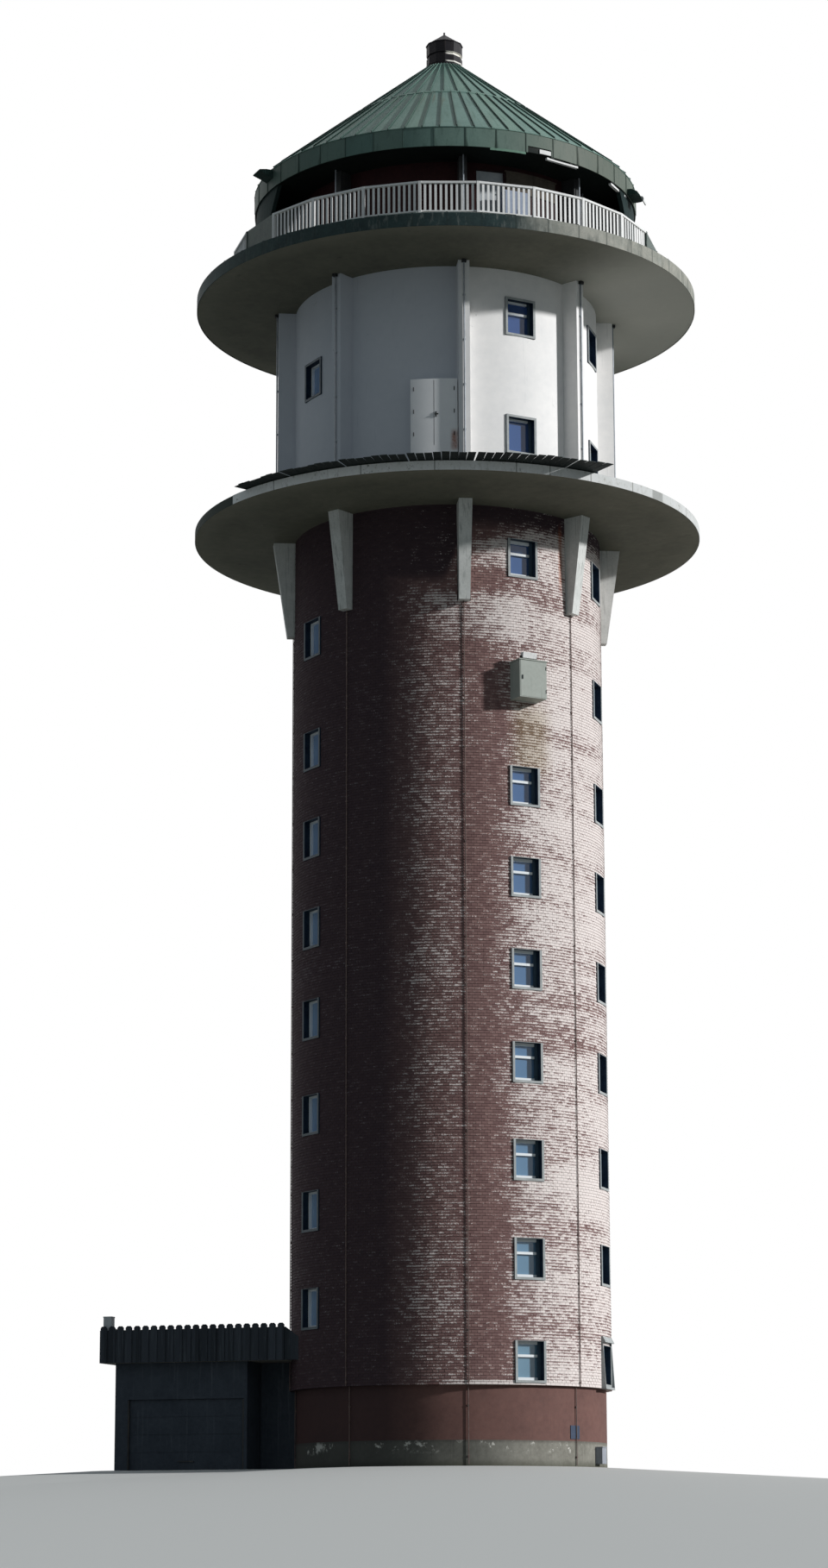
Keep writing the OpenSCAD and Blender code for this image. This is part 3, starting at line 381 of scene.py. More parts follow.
def disc_shadow_part(turn, height):
    """Painted shadow of the lower disc on the uppermost rows, reaching lower towards the front."""
    line = step(turn, turn_of(14), turn_of(25)) * 0.85 + 12.72
    return step(height - line, -0.08, 0.22)


def bleached_share(tree, turn, height, painted_shadow):
    """How much of the tiling is bleached, by azimuth and height, thinned within the painted shadow of the
    disc.
    """
    wander = noise(place(tree, (1.0, 1.0, 0.7)), 1.3, 5.0, 0.65)
    turn = turn + (wander - 0.5) * 0.060
    amount = ramp(turn, [
        (0.00, 0.42), (0.20, 0.26), (0.40, 0.12), (turn_of(-4), 0.12), (turn_of(4), 0.29),
        (turn_of(19), 0.32), (turn_of(24), 0.13), (turn_of(32), 0.16), (turn_of(40), 0.42),
        (turn_of(48), 0.62), (turn_of(86), 0.84), (turn_of(126), 0.76), (1.0, 0.42)])
    bands = noise(place(tree, (0.12, 0.12, 1.0)), 2.2, 3.0, 0.6)
    amount = (bands - 0.5) * (amount + 0.1) * 1.7 + amount
    # A pale belt passes below the brackets, and a pale corner lies just under the disc
    belt = within(height, 11.92, 12.62, 0.12) * between(turn, 5, 46, 0.010)
    amount = belt * (step(turn, turn_of(5), turn_of(32)) * 0.30 + 0.10) + amount
    corner = within(height, 13.00, 13.45, 0.10) * between(turn, 24, 42, 0.012)
    amount = corner * 0.34 + amount
    # Within the disc's painted shadow the pale dashes are thinned, and the lowest row is pale along its
    # edge
    amount = amount * (1.0 - painted_shadow * 0.75)
    edge = 1.0 - step(height, CLADDING_LOW + 0.050, CLADDING_LOW + 0.066)
    return edge * step(turn, turn_of(14), turn_of(24)) * 0.7 + amount


def make_tile_finish():
    """Brown tiles whose lower edges are bleached in dashes on the weather side, with painted shade on the
    far side and under the disc.
    """
    paint = Paint("shaft_tiles", 0.75, gloss=0.06)
    tree = paint.tree
    turn, height, _ = spot_of(tree)
    rows = (height - CLADDING_LOW) / TILE_ROW
    row = rows.calc("FLOOR")
    inside = rows - row
    across = turn * float(TILES_ROUND) + row.calc("MODULO", 2.0) * 0.5
    column = across.calc("FLOOR")
    beside = (across - column - 0.5).calc("ABSOLUTE")
    cell = {"Vector": joined(tree, column, row)}
    dice = Value(add(tree, "ShaderNodeTexWhiteNoise", cell, noise_dimensions="2D"))
    fleck = noise(place(tree, (1.0, 1.0, 1.7)), 56.0, 2.0)
    lower = 1.0 - step(inside, 0.30, 0.70)
    painted_shadow = disc_shadow_part(turn, height)
    bleached = bleached_share(tree, turn, height, painted_shadow)
    pale = bleached * 1.5 + (dice - 0.5) * 0.5 + (fleck - 0.5) * 2.1 + lower * 0.45
    pale = pale.above(1.0, 9.0)
    paint.colour = blend(dice, (118, 92, 90), (140, 112, 108))
    olive = within(height, 9.95, 10.95, 0.20) * between(turn, 41, 55, 0.012)
    paint.coat(olive * 0.6, (126, 110, 82))
    # Painted shade: brown tiles and pale dashes are darkened on the side away from the light and in the
    # disc's shadow
    shaded_side = paint.mask(PAINTED_SHADE_SIDE)
    paint.coat(shaded_side.calc("MAXIMUM", painted_shadow) * 0.85, (50, 44, 52))
    clean = blend(noise(place(tree), 40.0, 2.0), (214, 200, 196), (240, 234, 230))
    clean = blend(shaded_side * 0.8, clean, (92, 88, 96))
    clean = blend(olive * 0.5, clean, (176, 160, 132))
    paint.coat(pale * 0.94, clean)
    shade_line = step(inside, 0.80, 0.96).calc("MAXIMUM", step(beside, 0.44, 0.49) * 0.6)
    paint.coat(shade_line * 0.5, (74, 56, 54))
    paint.coat(paint.mask(RUNS, width=0.05, amount=0.4) * 0.35, (72, 56, 54))
    rust = between(turn, 61.6, 63.4, 0.002) * within(height, 12.85, 13.75, 0.15)
    paint.coat(rust * (fleck * 0.8 + 0.2), (160, 92, 58))
    return paint.done(0.02, 0.2)


def make_roof_copper():
    """Green sheet between standing seams, each pan with its own tone."""
    paint = Paint("roof_copper", 0.5)
    _, height, radius = spot_of(paint.tree)
    outer, inner = paint.panels(72.0, 0.0, 0.09), paint.panels(45.0, 0.5, 0.07)
    low_tier = radius.calc("GREATER_THAN", TIER_R - 0.04)
    line, dice = [low_tier * low + (1.0 - low_tier) * high for low, high in zip(outer, inner)]
    paint.ground(0.5, (114, 142, 134), (98, 126, 119))
    paint.coat(dice * 0.35, (124, 150, 132))
    paint.coat(paint.mask(STREAKS, count=260.0, length=0.9, amount=0.55) * 0.5, (70, 96, 86))
    # Brownish streaks, strongest below the lap between the tiers
    brown = paint.mask(STREAKS, count=150.0, length=1.4, amount=0.5)
    paint.coat(brown * (within(radius, TIER_R, TIER_R + 0.5, 0.25) * 0.5 + 0.2), (98, 92, 76))
    paint.coat(line * 0.85, (34, 50, 46))
    # Painted shade: what lies behind the eave band is painted dark
    paint.coat(height.calc("LESS_THAN", 19.60), (24, 30, 28))
    return paint.done(0.03, 0.15)


def make_eave_copper():
    """Dark green band in panels, greyer towards the weather side, with painted shade towards the left."""
    paint = Paint("eave_copper", 0.5)
    seam, dice = paint.panels(40.0, 0.5, 0.05)
    # Painted shade: the band darkens towards az -50, away from the light
    paint.colour = ramp(spot_of(paint.tree)[0], [
        (0.0, (84, 108, 98)), (turn_of(-50), (44, 62, 60)), (turn_of(-5), (92, 118, 112)),
        (turn_of(25), (104, 128, 120)), (turn_of(55), (104, 108, 100)), (1.0, (84, 100, 92))])
    paint.coat(dice * 0.22, (128, 140, 126))
    paint.coat(paint.mask(STREAKS, count=300.0, length=0.35, amount=0.5) * 0.45, (58, 76, 70))
    paint.coat(paint.mask(MOTTLE, size=0.25) * 0.3, (70, 90, 82))
    paint.coat(seam * 0.5, (40, 54, 50))
    return paint.done(0.03, 0.15)


def make_apron_copper():
    """Dark green skirt with ragged pale streaks, pale all over on the weather side."""
    paint = Paint("apron_copper", 0.6)
    turn, height, _ = spot_of(paint.tree)
    wander = (noise(place(paint.tree), 2.2, 4.0) - 0.5) * 0.05
    paint.ground(0.22, (50, 66, 66), (34, 46, 48))
    pale = paint.cloudy(0.16, (172, 170, 160), (142, 144, 136))
    paint.coat(between(wander + turn, 38, 160, 0.03) * 0.85, pale)
    streaks = paint.mask(STREAKS, count=330.0, length=0.25, amount=0.52)
    streaks = streaks * (step(height, APRON_LOW + 0.05, APRON_TOP) * 0.6 + 0.3)
    streaks = streaks * (between(turn, -4, 150, 0.02) * 0.75 + 0.25)
    paint.coat(streaks * 0.8, (176, 180, 174))
    paint.coat(paint.mask(STREAKS, count=180.0, length=0.5, amount=0.6) * 0.45, (48, 60, 58))
    paint.coat(paint.panels(48.0, 0.253, 0.035)[0] * 0.7, (38, 48, 46))
    return paint.done(0.03, 0.2)


FASCIA_JOINTS = (-24.0, -2.0, 14.0, 31.5, 39.1, 49.1, 61.0, 84.0, 107.0, 131.0, 152.0, 176.0)


def make_fascia_paint():
    """White flaking strip with joints, runs and one grey mended patch."""
    paint = Paint("fascia_paint", 0.6)
    turn = spot_of(paint.tree)[0]
    paint.ground(0.3, (246, 247, 246), (230, 231, 228))
    paint.coat(step(turn, turn_of(30), turn_of(60)) * 0.5, (150, 153, 153))
    paint.coat(paint.mask(STREAKS, count=420.0, length=0.12, amount=0.5) * 0.45, (140, 138, 126))
    paint.coat(between(turn, 67.8, 71.8, 0.001) * 0.6, (120, 122, 118))
    for azimuth in FASCIA_JOINTS:
        paint.coat(between(turn, azimuth - 0.108, azimuth + 0.108, 0.0003) * 0.75, (84, 84, 76))
    paint.coat(paint.mask(CHIPS, size=0.05, amount=0.62) * 0.7, (112, 110, 100))
    return paint.done(0.012, 0.2)


# Limits that tell the parts of a window surround: the casement bars lie nearer to the axis,
# and the flange lies farther out or farther aside
CASEMENT_R = 2.2655
FLANGE_R = SHAFT_R + 0.004
FLANGE_ASIDE = 0.262


def make_window_metal():
    """Pale flange outside, reveal painted dark as shade, white casement bars near the glass."""
    paint = Paint("window_metal", 0.45)
    spot = use(paint.tree, WINDOW_PLACE)
    depth, aside, side = [Value(spot, label) for label in ("Depth", "Aside", "Side")]
    outside = depth.calc("GREATER_THAN", FLANGE_R)
    outside = outside.calc("MAXIMUM", aside.calc("GREATER_THAN", FLANGE_ASIDE))
    patches = paint.mask(MOTTLE, size=0.15)
    flange = blend(patches, (176, 180, 180), (146, 150, 150))
    # Painted shade: flanges on the side away from the light are darker, and the reveal is painted dark
    # blue-grey
    painted_shadow = between(spot_of(paint.tree)[0], -120, 0, 0.01)
    flange = blend(painted_shadow * 0.8, flange, (74, 86, 96))
    reveal = blend(patches, (44, 60, 76), (26, 36, 52))
    paint.colour = blend(outside, reveal, flange)
    # Painted shade: the stile in its reveal's shadow is painted dull blue-grey, the other bars are white
    casement = blend(step(side, 0.150, 0.165), (234, 238, 240), (66, 84, 98))
    paint.coat(depth.calc("LESS_THAN", CASEMENT_R), casement)
    paint.coat(paint.mask(RUNS, width=0.02, amount=0.4) * 0.3, (110, 108, 104))
    return paint.done(0.01, 0.1)


def make_glass():
    """Bluish glass with painted reflections, paler in the low storeys, with a soft change from pane to
    pane.
    """
    paint = Paint("window_glass", 0.05, gloss=0.5)
    paint.shader.inputs["Transmission Weight"].default_value = 0.15
    paint.shader.inputs["IOR"].default_value = 1.5
    turn, height, _ = spot_of(paint.tree)
    # Painted reflections: paler, greener panes low down and bluer panes high up
    paint.colour = ramp(height / 17.5, [
        (0.06, (126, 162, 180)), (0.30, (104, 142, 176)), (0.60, (78, 112, 160)),
        (1.0, (62, 92, 150))])
    paint.coat(noise(place(paint.tree), 0.9, 2.0) * 0.35, (56, 82, 120))
    # Painted reflection: bright sky on the stair panes on the left
    paint.coat(between(turn, -60, -20, 0.01) * 0.75, (168, 196, 232))
    return paint.done()


def make_disc_finish():
    """Cast discs in dull olive tones that paint the underside's shade, with worn flakes and a dark bare
    rim.
    """
    paint = Paint("disc_concrete", 0.75, gloss=0.1)
    turn, height, radius = spot_of(paint.tree)
    # Painted shade: the pale concrete is given darker tones, as the underside looks in shade
    paint.ground(0.9, (122, 120, 107), (104, 103, 92))
    paint.coat(paint.mask(MOTTLE, size=0.12) * 0.25, (88, 88, 80))
    paint.coat(step(radius, DISC_R - 0.45, DISC_R - 0.02) * 0.3, (150, 148, 134))
    paint.coat(paint.mask(CHIPS, size=0.16, amount=0.42) * 0.6, (70, 68, 60))
    paint.coat(paint.mask(CHIPS, size=0.07, amount=0.3) * 0.6, (186, 184, 172))
    paint.coat(within(height, LOWER_TOP - 0.14, LOWER_TOP + 0.05, 0.01) * 0.8, (84, 86, 84))
    # Painted light: the underside of the upper disc is painted paler on the sunlit side, for light thrown
    # up from the sunlit wall
    upper_disc = height.calc("GREATER_THAN", LOWER_TOP + 1.0)
    paint.coat(between(turn, 62, 150, 0.05) * upper_disc * 0.6, (206, 205, 196))
    # Painted shade: where the rainwater pipes pass through its underside, the holes are painted dark
    aside = ((turn * (360.0 / BAY)).calc("FRACT") - 0.5) * (math.radians(BAY) * PIPE_AT)
    off = radius - PIPE_AT
    reach = (aside * aside + off * off).calc("SQRT")
    paint.coat((1.0 - step(reach, 0.030, 0.042)) * upper_disc * 0.9, (26, 28, 28))
    paint.coat(radius.calc("GREATER_THAN", DISC_R - 0.004), (52, 60, 57))
    return paint.done(0.02, 0.25)


def make_drum_paint():
    """White paint with painted bluish shade on the side away from the light, grime at its foot and one run
    of rust.
    """
    paint = Paint("drum_paint", 0.6)
    turn, height, radius = spot_of(paint.tree)
    paint.ground(0.9, (245, 243, 241), (234, 233, 232))
    # The curved cabinet on the disc gets a slightly bluer white and is kept out of the painted shade below
    cabinet = between(turn, 4.2, 20.6, 0.0006)
    cabinet = cabinet * within(height, LOWER_TOP - 0.01, CABINET_TOP, 0.004)
    cabinet = cabinet * step(radius, CABINET_R - 0.15, CABINET_R - 0.09)
    paint.coat(cabinet * 0.45, (238, 241, 245))
    paint.coat(paint.mask(RUNS, width=0.05, amount=0.35) * 0.45, (162, 166, 168))
    fine = paint.mask(MOTTLE, size=0.08)
    # Painted shade: the wall from az -100 to 21, away from the light, is painted bluish grey
    paint.coat((1.0 - cabinet) * between(turn, -100, 21, 0.004) * 0.55, (160, 171, 188))
    foot = 1.0 - step(height, LOWER_TOP + 0.02, LOWER_TOP + 0.40)
    paint.coat(foot * fine * 0.5, (120, 120, 112))
    paint.coat(paint.mask(CHIPS, size=0.06, amount=0.36) * 0.6, (128, 130, 130))
    rust = between(turn, 18.2, 20.2, 0.0022) * within(height, 14.74, 15.02, 0.06)
    paint.coat(rust * (fine * 0.6 + 0.4), (158, 88, 56))
    return paint.done(0.008, 0.12)


def make_plinth_finish():
    """Grey render with streaks, white chips, a damp foot and painted shade on the side away from the light.
    """
    paint = Paint("plinth_render", 0.75)
    turn, height, _ = spot_of(paint.tree)
    paint.ground(0.4, (146, 144, 135), (116, 114, 106))
    paint.coat(paint.mask(RUNS, width=0.05, amount=0.5) * 0.4, (82, 78, 72))
    paint.coat(step(height, PLINTH_TOP - 0.06, PLINTH_TOP) * 0.5, (68, 60, 56))
    paint.coat(between(turn, -80, 34, 0.04) * 0.5, (66, 68, 66))
    paint.coat((1.0 - step(height, 0.0, 0.12)) * 0.55, (64, 66, 52))
    # Painted shade on the side away from the light
    paint.coat(paint.mask(PAINTED_SHADE_SIDE) * 0.6, (56, 58, 58))
    chips = paint.mask(CHIPS, size=0.12, amount=0.80)
    paint.coat(chips * within(height, 0.20, PLINTH_TOP - 0.02, 0.04) * 0.85, (216, 214, 206))
    return paint.done(0.015, 0.35)


def make_base_render():
    """Brown render of the base band, with painted shade on the side away from the light."""
    paint = Paint("base_render", 0.75)
    paint.ground(0.6, (116, 86, 80), (98, 73, 69))
    paint.coat(paint.mask(MOTTLE, size=0.1) * 0.2, (126, 100, 94))
    paint.coat(paint.mask(RUNS, width=0.06, amount=0.3) * 0.6, (74, 56, 54))
    # Painted shade on the side away from the light
    paint.coat(paint.mask(PAINTED_SHADE_SIDE) * 0.75, (46, 38, 42))
    return paint.done(0.012, 0.25)


def make_lantern_sheet():
    """Nearly black brown sheet, with painted highlights on its slot and foot ring on the sunlit side."""
    paint = Paint("lantern_sheet", 0.45)
    turn, height, _ = spot_of(paint.tree)
    paint.ground(0.12, (38, 36, 40), (24, 24, 28))
    paint.coat(paint.mask(RUNS, width=0.03, amount=0.6) * 0.5, (72, 64, 62))
    slot = within(height, LANTERN_Z + 0.176, LANTERN_Z + 0.228, 0.002)
    ring = within(height, LANTERN_Z + 0.048, LANTERN_Z + 0.074, 0.002)
    # Painted highlight: the slot and foot ring are painted near white where the sun strikes them
    paint.coat(slot.calc("MAXIMUM", ring) * between(turn, 24, 120, 0.02), (232, 228, 220))
    return paint.done(0.02, 0.15)


def make_boards():
    """Dark boards with a tone of their own each."""
    paint = Paint("annex_board", 0.6)
    cell = {"Vector": place(paint.tree, (7.752, 7.752, 0.0)), "Scale": 1.0}
    dice = Value(add(paint.tree, "ShaderNodeTexVoronoi", cell), "Color")
    board = Value(add(paint.tree, "ShaderNodeSeparateColor", {0: dice}))
    paint.colour = blend(board, (40, 46, 52), (62, 68, 76))
    paint.coat(paint.mask(RUNS, width=0.03, amount=0.6) * 0.6, (92, 100, 106))
    paint.coat(paint.mask(CHIPS, size=0.05, amount=0.4) * 0.5, (120, 124, 124))
    return paint.done(0.02, 0.3)


# Plain weathered finishes: main tone, other tone and stain, then what else weathered() takes
PLAIN_FINISHES = {
    "concrete": [(150, 147, 140), (126, 123, 117), (92, 90, 86), 0.7],
    "bracket_paint": [(222, 223, 220), (200, 202, 198), (128, 132, 130), 0.2, 0.03, 0.6],
    "white_paint": [(238, 238, 237), (222, 222, 220), (150, 148, 142), 0.3, 0.02, 0.45],
    "dark_sheet": [(50, 56, 55), (36, 42, 43), (88, 92, 88), 0.2, 0.02, 0.5, 0.55, 0.2],
    "copper": [(112, 142, 126), (92, 122, 108), (70, 92, 84), 0.3, 0.03, 0.5, 0.5, 0.1],
    "copper_dark": [(40, 54, 54), (28, 38, 38), (60, 78, 76), 0.3, 0.03, 0.6, 0.75],
    "grey_sheet": [(92, 104, 99), (78, 88, 85), (56, 62, 60), 0.3, 0.03, 0.5, 0.45],
    "box_paint": [(172, 177, 170), (160, 165, 158), (126, 131, 124), 0.35, 0.04, 0.45, 0.5],
    # The gallery wall is painted near black as painted shade inside the gallery
    "maroon_wall": [(50, 27, 28), (36, 20, 22), (24, 16, 18), 0.4],
    "wall_panel": [(96, 88, 78), (80, 74, 66), (56, 52, 48), 0.2],
    "locker_paint": [(158, 168, 186), (142, 152, 172), (104, 112, 128), 0.2, 0.02, 0.4, 0.45],
    "dark_steel": [(56, 58, 58), (42, 44, 46), (88, 84, 78), 0.15, 0.02, 0.5, 0.5, 0.3],
    "pale_door": [(196, 200, 202), (176, 182, 186), (134, 138, 140), 0.3, 0.03, 0.4, 0.45],
    "spout_sheet": [(46, 66, 62), (34, 50, 48), (84, 110, 104), 0.1, 0.02, 0.5, 0.6],
    # The soffit is painted near black as painted shade under the roof
    "dark_soffit": [(30, 37, 35), (22, 28, 27), (48, 54, 50), 0.3],
    "pipe_metal": [(158, 164, 170), (128, 134, 140), (92, 94, 92), 0.2, 0.01, 0.6, 0.45, 0.2],
    "annex_paint": [(70, 77, 86), (54, 61, 70), (94, 100, 108), 0.4, 0.05, 0.5],
    "conductor": [(116, 102, 98), (86, 74, 70), (60, 52, 50), 0.08, 0.02, 0.5, 0.55, 0.2],
    "meter_paint": [(158, 162, 170), (140, 144, 152), (104, 106, 110), 0.2, 0.02, 0.4],
    "plaque_sheet": [(70, 80, 98), (60, 70, 88), (88, 94, 104), 0.1, 0.02, 0.3, 0.4, 0.2],
}
SPECIAL_FINISHES = {
    "shingle": make_tile_finish, "render": make_base_render, "roof_copper": make_roof_copper,
    "eave_copper": make_eave_copper, "apron_copper": make_apron_copper,
    "fascia_paint": make_fascia_paint, "window_metal": make_window_metal,
    "window_glass": make_glass, "disc_concrete": make_disc_finish, "drum_paint": make_drum_paint,
    "plinth_render": make_plinth_finish, "lantern_sheet": make_lantern_sheet,
    "annex_board": make_boards,
}
FINISH = {name: weathered(name, *tones) for name, tones in PLAIN_FINISHES.items()}
FINISH.update({name: make() for name, make in SPECIAL_FINISHES.items()})

# Nodes that take a finish of their own within their slot
OWN_FINISH = {
    "eave_band": "eave_copper", "upper_disc_apron": "apron_copper",
    "lower_disc_fascia": "fascia_paint", "shaft_conductors": "conductor",
    "equipment_box": "box_paint", "meter_box": "meter_paint", "lantern_body": "lantern_sheet",
    "lantern_lid": "lantern_sheet", "roof_shell": "roof_copper", "roof_seams": "roof_copper",
}


def dress_nodes():
    """Gives every CAD node its own finish or the finish of its slot."""
    for entry in frame["record"]["subparts"]:
        node = frame["nodes"][entry["node"]]
        node.data.materials.clear()
        node.data.materials.append(FINISH[OWN_FINISH.get(entry["node"], entry["material_slot"])])


# Pieces


def linked(name, data):
    """New object in the scene."""
    obj = bpy.data.objects.new(name, data)
    bpy.context.scene.collection.objects.link(obj)
    return obj


def keep(obj, slot, finish=None):
    """Rides a piece on the tower and gives it the finish of a slot, or its own."""
    obj.data.materials.clear()
    obj.data.materials.append(FINISH[finish or slot])
    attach(obj, "root")


def piece_of(name, verts, faces):
    """New mesh object from points and faces."""
    mesh = bpy.data.meshes.new(name)
    mesh.from_pydata([tuple(v) for v in verts], [], faces)
    mesh.validate()
    mesh.update()
    return linked(name, mesh)


def outward(obj, bevel):
    """Merges doubles, turns all faces outwards and rounds the edges."""
    work = bmesh.new()
    work.from_mesh(obj.data)
    bmesh.ops.remove_doubles(work, verts=work.verts, dist=1e-6)
    bmesh.ops.recalc_face_normals(work, faces=work.faces)
    if bevel > 0.0:
        sharp = [e for e in work.edges if e.calc_face_angle(0.0) > 0.5]
        bmesh.ops.bevel(work, geom=sharp, offset=bevel, segments=2, profile=0.5, affect="EDGES")
    work.to_mesh(obj.data)
    work.free()


def facing(azimuth):
    """Matrix that turns a piece made towards +X to an azimuth."""
    return Matrix.Rotation(math.radians(azimuth - 90.0), 4, "Z")


BOX_FACES = [(0, 3, 2, 1), (4, 5, 6, 7), (0, 1, 5, 4), (1, 2, 6, 5), (2, 3, 7, 6), (3, 0, 4, 7)]


class Blocks:
    """Collects simple closed solids into one mesh."""

    def __init__(self):
        self.verts = []
        self.faces = []

    def put(self, verts, faces):
        """Adds one solid."""
        start = len(self.verts)
        self.verts.extend(verts)
        self.faces.extend([tuple(i + start for i in face) for face in faces])

    def box(self, low, high, turned=None):
        """Box from corner to corner, turned by a matrix."""
        (x0, y0, z0), (x1, y1, z1) = low, high
        corners = ((x0, y0), (x1, y0), (x1, y1), (x0, y1))
        points = [Vector((x, y, z)) for z in (z0, z1) for x, y in corners]
        if turned is not None:
            points = [turned @ p for p in points]
        self.put(points, BOX_FACES)

    def beam(self, start, end, width, height):
        """Square bar between two points, level across."""
        along = (end - start).normalized()
        side = along.cross(Vector((0.0, 0.0, 1.0))).normalized() * (width / 2.0)
        above = side.cross(along).normalized() * (height / 2.0)
        points = []
        for lift in (-1.0, 1.0):
            for centre, sign in ((start, -1.0), (start, 1.0), (end, 1.0), (end, -1.0)):
                points.append(centre + sign * side + lift * above)
        self.put(points, BOX_FACES)

    def rod(self, start, end, radius, sides=12):
        """Round bar between two points."""
        along = (end - start).normalized()
        side = along.orthogonal().normalized()
        other = along.cross(side)
        points = []
        for centre in (start, end):
            for i in range(sides):
                a = 2.0 * math.pi * i / sides
                points.append(centre + radius * (math.cos(a) * side + math.sin(a) * other))
        faces = [(i, (i + 1) % sides, sides + (i + 1) % sides, sides + i) for i in range(sides)]
        faces.append(tuple(range(sides))[::-1])
        faces.append(tuple(range(sides, 2 * sides)))
        self.put(points, faces)

    def arc(self, section, az_from, az_to, steps):
        """Closed profile of radius and height points, swept part of the way round the axis."""
        count = len(section)
        points = []
        for k in range(steps + 1):
            azimuth = az_from + (az_to - az_from) * k / steps
            points.extend(around(azimuth, r, z) for r, z in section)
        faces = []
        for k in range(steps):
            for i in range(count):
                j = (i + 1) % count
                faces.append((k * count + i, k * count + j, (k + 1) * count + j, (k + 1) * count + i))
        faces.append(tuple(range(count))[::-1])
        faces.append(tuple(range(steps * count, (steps + 1) * count)))
        self.put(points, faces)

    def piece(self, name, slot, finish=None, bevel=0.0):
        """Makes the collected solids one piece of the tower."""
        obj = piece_of(name, self.verts, self.faces)
        outward(obj, bevel)
        keep(obj, slot, finish)


def ring_section(near, far, low, high):
    """Upright rectangle of radius and height points."""
    return [(near, low), (far, low), (far, high), (near, high)]


# Shaft tiles

SHAFT_SILLS = (1.145, 2.585, 3.985, 5.385, 6.735, 8.085, 9.435, 11.035, 12.885)
STAIR_SILLS = (1.950, 3.350, 4.750, 6.150, 7.500, 8.850, 10.200, 11.911)
WINDOW_W = 0.500
WINDOW_H = 0.590
TILE_LAP = 0.003
TILE_BUTT = 0.006


def cladding_holes():
    """Boxes of azimuth and height that the tiles keep clear of."""
    windows = [(azimuth, sill) for azimuth in ROOM_AZ for sill in SHAFT_SILLS]
    windows.remove((270.0, SHAFT_SILLS[0]))
    windows.remove((BOX_AZ, SHAFT_SILLS[7]))
    windows.extend((azimuth, sill) for azimuth in STAIR_AZ for sill in STAIR_SILLS)
    holes = [(azimuth, 0.5 * WINDOW_W, sill, sill + WINDOW_H) for azimuth, sill in windows]
    # Brackets, the plant box and the hood, each with half its width
    holes.extend((azimuth, 0.105, 12.46, 14.0) for azimuth in BAY_LINES)
    holes.append((BOX_AZ, 0.235, 10.99, 11.59))
    holes.append((90.0, 0.27, 1.11, 1.87))
    holes = [(azimuth, math.degrees(half / SHAFT_R), low, high) for azimuth, half, low, high in holes]
    # The passage and the roof band of the annex
    for half, low, high in ((0.63, 1.0, 1.62), (1.42, 1.54, 2.03)):
        holes.append((270.0, math.degrees(math.asin(half / SHAFT_R)), low, high))
    return holes


def tile_spots():
    """Middles of the tiles' lower edges, row by row, clear of every hole."""
    rows = int((CLADDING_TOP - CLADDING_LOW) / TILE_ROW)
    pitch = 360.0 / TILES_ROUND
    reach = pitch / 2.0 - 0.05
    holes = cladding_holes()
    spots = []
    for row in range(rows):
        z = CLADDING_LOW + row * TILE_ROW
        here = [(middle, half + reach) for middle, half, low, high in holes
                if z + TILE_ROW > low + TILE_LAP and z < high - TILE_LAP]
        for column in range(TILES_ROUND):
            azimuth = ((column + 0.5 - 0.5 * (row % 2)) * pitch - 180.0) % 360.0
            if all(abs((azimuth - middle + 180.0) % 360.0 - 180.0) >= half for middle, half in here):
                spots.append(around(azimuth, SHAFT_R, z))
    return spots


def geometry_tree(name, inputs):
    """Empty geometry tree with named inputs."""
    tree = bpy.data.node_groups.new(name, "GeometryNodeTree")
    tree.interface.new_socket("Geometry", in_out="INPUT", socket_type="NodeSocketGeometry")
    for label, kind, value in inputs:
        socket = tree.interface.new_socket(label, in_out="INPUT", socket_type=kind)
        if value is not None:
            socket.default_value = value
    tree.interface.new_socket("Geometry", in_out="OUTPUT", socket_type="NodeSocketGeometry")
    return tree, tree.nodes.new("NodeGroupInput")


def place_copies(given, shape, tilt):
    """Puts a shape on every point, its X away from the axis, tilted, real and with its finish."""
    tree = given.id_data
    where = {0: Value(add(tree, "GeometryNodeInputPosition")), 1: (1.0, 1.0, 0.0)}
    level = {"Vector": Value(add(tree, "ShaderNodeVectorMath", where, operation="MULTIPLY"))}
    outwards = Value(add(tree, "FunctionNodeAlignRotationToVector", level, axis="X", pivot_axis="Z"))
    tilted = add(tree, "FunctionNodeRotateRotation", {0: outwards, 1: tilt}, rotation_space="LOCAL")
    hung = add(tree, "GeometryNodeInstanceOnPoints", {
        "Points": Value(given, "Geometry"), "Instance": shape, "Rotation": Value(tilted)})
    real = add(tree, "GeometryNodeRealizeInstances", {0: Value(hung)})
    painted = add(tree, "GeometryNodeSetMaterial", {
        "Geometry": Value(real), "Material": Value(given, "Finish")})
    add(tree, "NodeGroupOutput", {0: Value(painted)})


